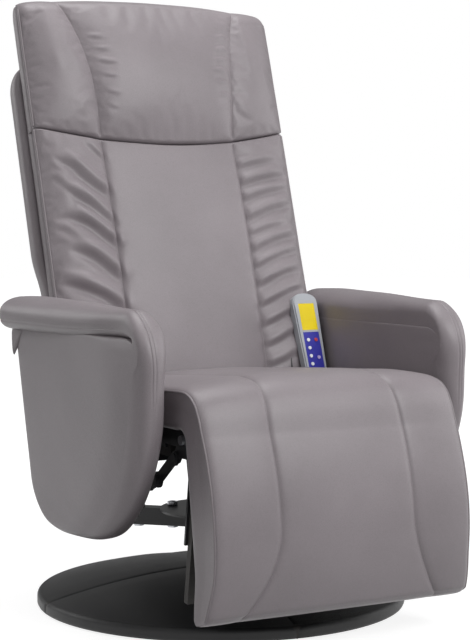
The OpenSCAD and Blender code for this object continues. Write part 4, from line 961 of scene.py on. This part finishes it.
def arm_pad_rings():
    """Arm cushion: level along the top, wider to the rear, rolled over the front and run out into the nose."""
    reach = PAD_REAR - (float(arm_front(ARM_PAD_Z)) + ROLL_R)
    turn_t = 0.92 * ARM_PAD_T
    angles = pad_angles()
    cos, sin = np.cos(angles), np.sin(angles)
    nose = np.where(cos > 0, NOSE_OUTER, NOSE_INNER)
    side = (np.degrees(angles) - PAD_SEAM) / 2.6
    rings = []

    def ring(foot, direction, wide, up, down, half, squeeze=1.0, side_seam=0.0, seams=1.0, square=0.0):
        """One ring: wide is its middle's height along direction, up and down its reach from there, squeeze its
        share of the full size, square how boxy its outer lower corner is."""
        power = np.where(sin >= 0, 2.3, np.where(cos < 0, 11.9, 2.9 + 9 * square))
        px = np.sign(cos) * np.abs(cos) ** (2 / power)
        pn = np.abs(sin) ** (2 / power)
        x = half * (0.35 + 0.65 * squeeze) * px
        rise = np.where(sin >= 0, up, -down) * squeeze * pn
        seam = np.exp(-(np.abs(np.abs(x) - TWIN_SEAM) / 0.0011) ** 1.4) * (sin > 0)
        rise = rise - 0.0015 * seams * seam * min(1, squeeze * 1.2)
        deep = np.where(cos < 0, 1.0, square) * np.where(sin < 0, pn, 0.0) * min(1, 2 * squeeze - 1)
        x = x - 0.0016 * deep * np.sign(px)
        n = wide + rise - 0.022 * deep
        y, z = foot[0] + direction[0] * n, foot[1] + direction[1] * n
        x = x - 0.0015 * side_seam * np.exp(-side ** 2) - nose_taper(y, z) * (px > 0) * px
        rings.append(np.stack([ARM_X0 + half + x, y, z], axis=1))

    def level_part(f, squeeze=1.0):
        half = (ARM_T + ARM_OVERHANG * (1 - eased(f))) / 2
        t = ARM_PAD_T + (turn_t - ARM_PAD_T) * eased((f - 0.5) / 0.5)
        low = PAD_LIFT * eased((f - 0.55) / 0.43)
        ring((PAD_REAR - f * reach, ARM_PAD_Z), (0, 1), low + PAD_LOW * (t - low), PAD_HIGH * (t - low),
             PAD_LOW * (t - low), half, squeeze, float(smooth(f / 0.05) * smooth((1 - f) / 0.08)))

    for a in np.linspace(0, math.pi / 2, 10)[:-1]:
        level_part(0.062 * (1 - math.cos(a)), max(0.06, math.sin(a) ** 0.8))
    for f in np.linspace(0.062, 0.985, 46):
        level_part(f)
    for a in np.linspace(math.pi / 2, 0, 19):
        level = ROLL_Z + ROLL_R * math.sin(a)
        t = BAND_T + (turn_t - BAND_T) * (1 - math.cos(a)) ** 0.85
        s = eased((1 - a / (math.pi / 2) - 0.18) / 0.82)
        low = PAD_LIFT * (1 - s)
        wide = (low + PAD_LOW * (t - low)) * (1 - s) - nose * s
        ring((float(arm_front(level)) + ROLL_R * (1 - math.cos(a)), level), (-math.cos(a), math.sin(a)),
             wide, t - wide, PAD_LOW * (t - low) * (1 - s) + 0.006 * s, ARM_T / 2 - 0.0004 * s,
             square=eased(s / 0.10))
    for z in np.linspace(ROLL_Z, BAND_FOOT, 34)[1:]:
        sunk = eased((0.345 - z) / 0.130)
        ring((float(arm_front(z)), z), (-1, 0), -nose, BAND_T - (BAND_T + 0.0012) * sunk + nose, 0.006,
             ARM_T / 2 - 0.0004 - 0.0012 * sunk, seams=1 - eased((0.40 - z) / 0.06), square=1.0)
    return np.array(rings)


def arm_tab_rings():
    """Small folded corner of the cover behind the panel, under the cushion's rear end."""
    rings = []
    for s in np.linspace(0, 1, 9):
        y = ARM_REAR - 0.050 + 0.040 * s
        tall = 0.002 + 0.050 * s
        thick = 0.0016 + 0.0022 * math.sin(math.pi * min(1, s * 1.2) * 0.8)
        t = np.linspace(0, 2 * math.pi, 17)[:-1]
        z = ARM_PAD_Z + 0.004 - tall / 2 + tall / 2 * np.sign(np.sin(t)) * np.abs(np.sin(t)) ** 0.6
        x = ARM_X0 + ARM_T - 0.001 + 0.004 * s ** 2 + thick * np.cos(t)
        rings.append(np.stack([x, np.full_like(t, y) - 0.10 * (ARM_PAD_Z - z) * s, z], axis=1))
    return np.array(rings)


# Rows of the cushion's level part, and how near its underside its points are held while it is stuffed
LEVEL_ROWS = slice(4, 46)
PAD_HELD = 0.012
panel_rings = waved(arm_panel_rings(), 0.0007, 9.0, 3.0)
cushion_rings = waved(arm_pad_rings(), 0.0007, 9.0, 3.0)
for side in ("left", "right"):
    flip = np.array([-1.0 if side == "left" else 1.0, 1.0, 1.0])
    panel = finished(skin(f"arm_cover_{side}", flip * panel_rings, leather, "fan"))
    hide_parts(f"arm_panel_{side}")
    pad = skin(f"arm_cushion_{side}", flip * cushion_rings, leather, "fan")
    held = np.ones(cushion_rings.shape[:2], bool)
    held[LEVEL_ROWS] = np.abs(cushion_rings[LEVEL_ROWS, :, 2] - ARM_PAD_Z) < PAD_HELD
    stuffed(pad, held, cap=0.004, pressure=2.0)
    finished(pad)
    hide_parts(f"arm_pad_{side}")
    tab = finished(skin(f"arm_tab_{side}", flip * arm_tab_rings(), leather, "fan"))
    for piece in (panel, pad, tab):
        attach(piece, "chassis")


# Leatherette of the base: a shallow dome in four quarters
base_low, base_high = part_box("base_cover")
BASE_R = base_high.x
base_top = base_high.z
BASE_EDGE_Z = 0.0245
BASE_ROUND = 0.008
POST_HOLE_R = 0.0312
BASE_SEAM = 0.0022
SEAM_TURN = math.radians(-7)


def base_cover():
    """Rings of the base's cover from the post out, over the rim and back under to the post."""
    turns = np.linspace(0, 2 * math.pi, 241)[:-1] + SEAM_TURN
    spread = np.radians([0.25, 0.6, 1.1])
    near = [SEAM_TURN + q * math.pi / 2 + s * d for q in range(4) for d in spread for s in (-1, 1)]
    turns = np.sort(np.concatenate([turns, near]))
    dome_r = BASE_R - BASE_ROUND
    radii = np.linspace(POST_HOLE_R, dome_r, 44)
    rise = base_top - BASE_EDGE_Z
    sphere = (dome_r ** 2 + rise ** 2) / (2 * rise)
    profile = list(zip(radii, BASE_EDGE_Z - sphere + rise + np.sqrt(sphere ** 2 - radii ** 2)))
    for a in np.linspace(0, math.pi / 2, 7)[1:]:
        profile.append((dome_r + BASE_ROUND * math.sin(a), BASE_EDGE_Z - BASE_ROUND * (1 - math.cos(a))))
    for z in np.linspace(BASE_EDGE_Z - BASE_ROUND, base_low.z + 0.003, 5)[1:]:
        profile.append((BASE_R, z))
    upper = len(profile)
    profile += [(BASE_R - 0.0012, base_low.z + 0.0008), (BASE_R - 0.004, base_low.z + 0.0002),
                (BASE_R - 0.03, base_low.z + 0.0002), (BASE_R - 0.03, base_low.z + 0.0012),
                (POST_HOLE_R, base_low.z + 0.0012)]
    profile = np.array(profile)
    r, z = profile[:, 0][:, None], profile[:, 1][:, None]
    off = np.abs((turns - SEAM_TURN + math.pi / 4) % (math.pi / 2) - math.pi / 4) * r
    on_top = (np.arange(len(profile)) < upper)[:, None]
    depth = BASE_SEAM * np.exp(-(off / 0.0035) ** 1.2) * on_top
    swell = 0.0015 * smooth(off / 0.05) * on_top
    across = r - depth * (z < BASE_EDGE_Z)
    up = z - depth - 0.0015 * on_top + swell
    return np.stack([across * np.cos(turns), across * np.sin(turns), up], axis=2)


base_skin = skin("base_leather", base_cover(), base_hide, "none")
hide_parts("base_cover", "base_foam")
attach(base_skin, "base")


# Lining cloth stapled under the seat box, in front of and behind the pedestal's cross members
MEMBER_FRONT, MEMBER_REAR = -0.1166, -0.0956


def dust_sheet():
    """The cloth, sagging a little between its stapled edges."""
    low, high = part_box("dust_cover")
    points, faces = [], []
    xs = np.linspace(low.x + 0.001, high.x - 0.001, 70)
    for y0, y1 in ((low.y + 0.001, MEMBER_FRONT), (MEMBER_REAR, high.y - 0.0005)):
        ys = np.linspace(y0, y1, int((y1 - y0) / 0.006))
        x, y = np.meshgrid(xs, ys)
        sag = 0.0018 * np.cos(math.pi * x / (high.x - low.x)) * np.sin(math.pi * (y - y0) / (y1 - y0))
        pull = 0.0005 * np.sin(x * 190) * np.exp(-np.minimum(y - y0, y1 - y) / 0.014)
        grid = np.stack([x, y, low.z + 0.0005 - sag + pull], axis=2)
        at, rows, cols = len(points), *x.shape
        points += list(grid.reshape(-1, 3))
        faces += [(at + r * cols + c, at + (r + 1) * cols + c, at + (r + 1) * cols + c + 1, at + r * cols + c + 1)
                  for r in range(rows - 1) for c in range(cols - 1)]
    return link_mesh("dust_sheet", points, faces, nonwoven)


lining = dust_sheet()
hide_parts("dust_cover")
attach(lining, "chassis")


# Studio: pale floor, soft lights, white behind
for lamp_name, lamp_place, target_z, lamp_size, power in (
    ("key", (0.7, -2.9, 2.5), 0.6, 1.4, 70),
    ("fill", (2.8, -0.9, 1.3), 0.5, 1.8, 26),
    ("left", (-2.3, -1.4, 2.3), 0.7, 1.6, 9),
    ("top", (0.0, 0.2, 3.2), 0.4, 1.8, 45),
    ("rear", (-1.9, 2.5, 1.6), 0.6, 1.4, 22),
):
    lamp_data = bpy.data.lights.new(lamp_name, "AREA")
    lamp_data.shape = "RECTANGLE"
    lamp_data.size = lamp_data.size_y = lamp_size
    lamp_data.energy = power
    aim_at(put(lamp_name, lamp_data), lamp_place, (0, 0, target_z))


def seen_by(tree, other_ray):
    """1 on camera rays and on the other kind named, else 0."""
    rays = add(tree, "LightPath")
    return add(tree, "Math", links={0: (rays, "Is Camera Ray"), 1: (rays, other_ray)}, operation="MAXIMUM")


def studio_floor():
    """A wide pale disc that turns to white away from the chair."""
    made, tree, shader, at = new_material("studio floor")
    shader.inputs["Base Color"].default_value = (0.26, 0.26, 0.26, 1)
    shader.inputs["Roughness"].default_value = 0.9
    shader.inputs["Emission Color"].default_value = (1, 1, 1, 1)
    away = add(tree, "VectorMath", links={0: at}, operation="LENGTH")
    white = add(tree, "MapRange", {"From Min": 0.6, "From Max": 2.6, "To Min": 0.84, "To Max": 1.0},
                {"Value": (away, "Value")})
    glow = add(tree, "Math", links={0: (seen_by(tree, "Is Glossy Ray"), "Value"), 1: (white, "Result")},
               operation="MULTIPLY")
    tree.links.new(glow.outputs["Value"], shader.inputs["Emission Strength"])
    sides, reach = 64, 14.0
    turn = np.arange(sides) * 2 * math.pi / sides
    ring = [(reach * math.cos(a), reach * math.sin(a), 0) for a in turn]
    link_mesh("floor", ring, [tuple(range(sides))], made)


studio_floor()
world = bpy.data.worlds.new("studio")
bpy.context.scene.world = world
world.use_nodes = True
sky = world.node_tree.nodes["Background"]
sky.inputs["Color"].default_value = (1, 1, 1, 1)
strength = add(world.node_tree, "MapRange", {"To Min": 0.27, "To Max": 1.0},
               {"Value": (seen_by(world.node_tree, "Is Transmission Ray"), "Value")})
world.node_tree.links.new(strength.outputs["Result"], sky.inputs["Strength"])
bpy.context.scene.view_settings.view_transform = "Standard"
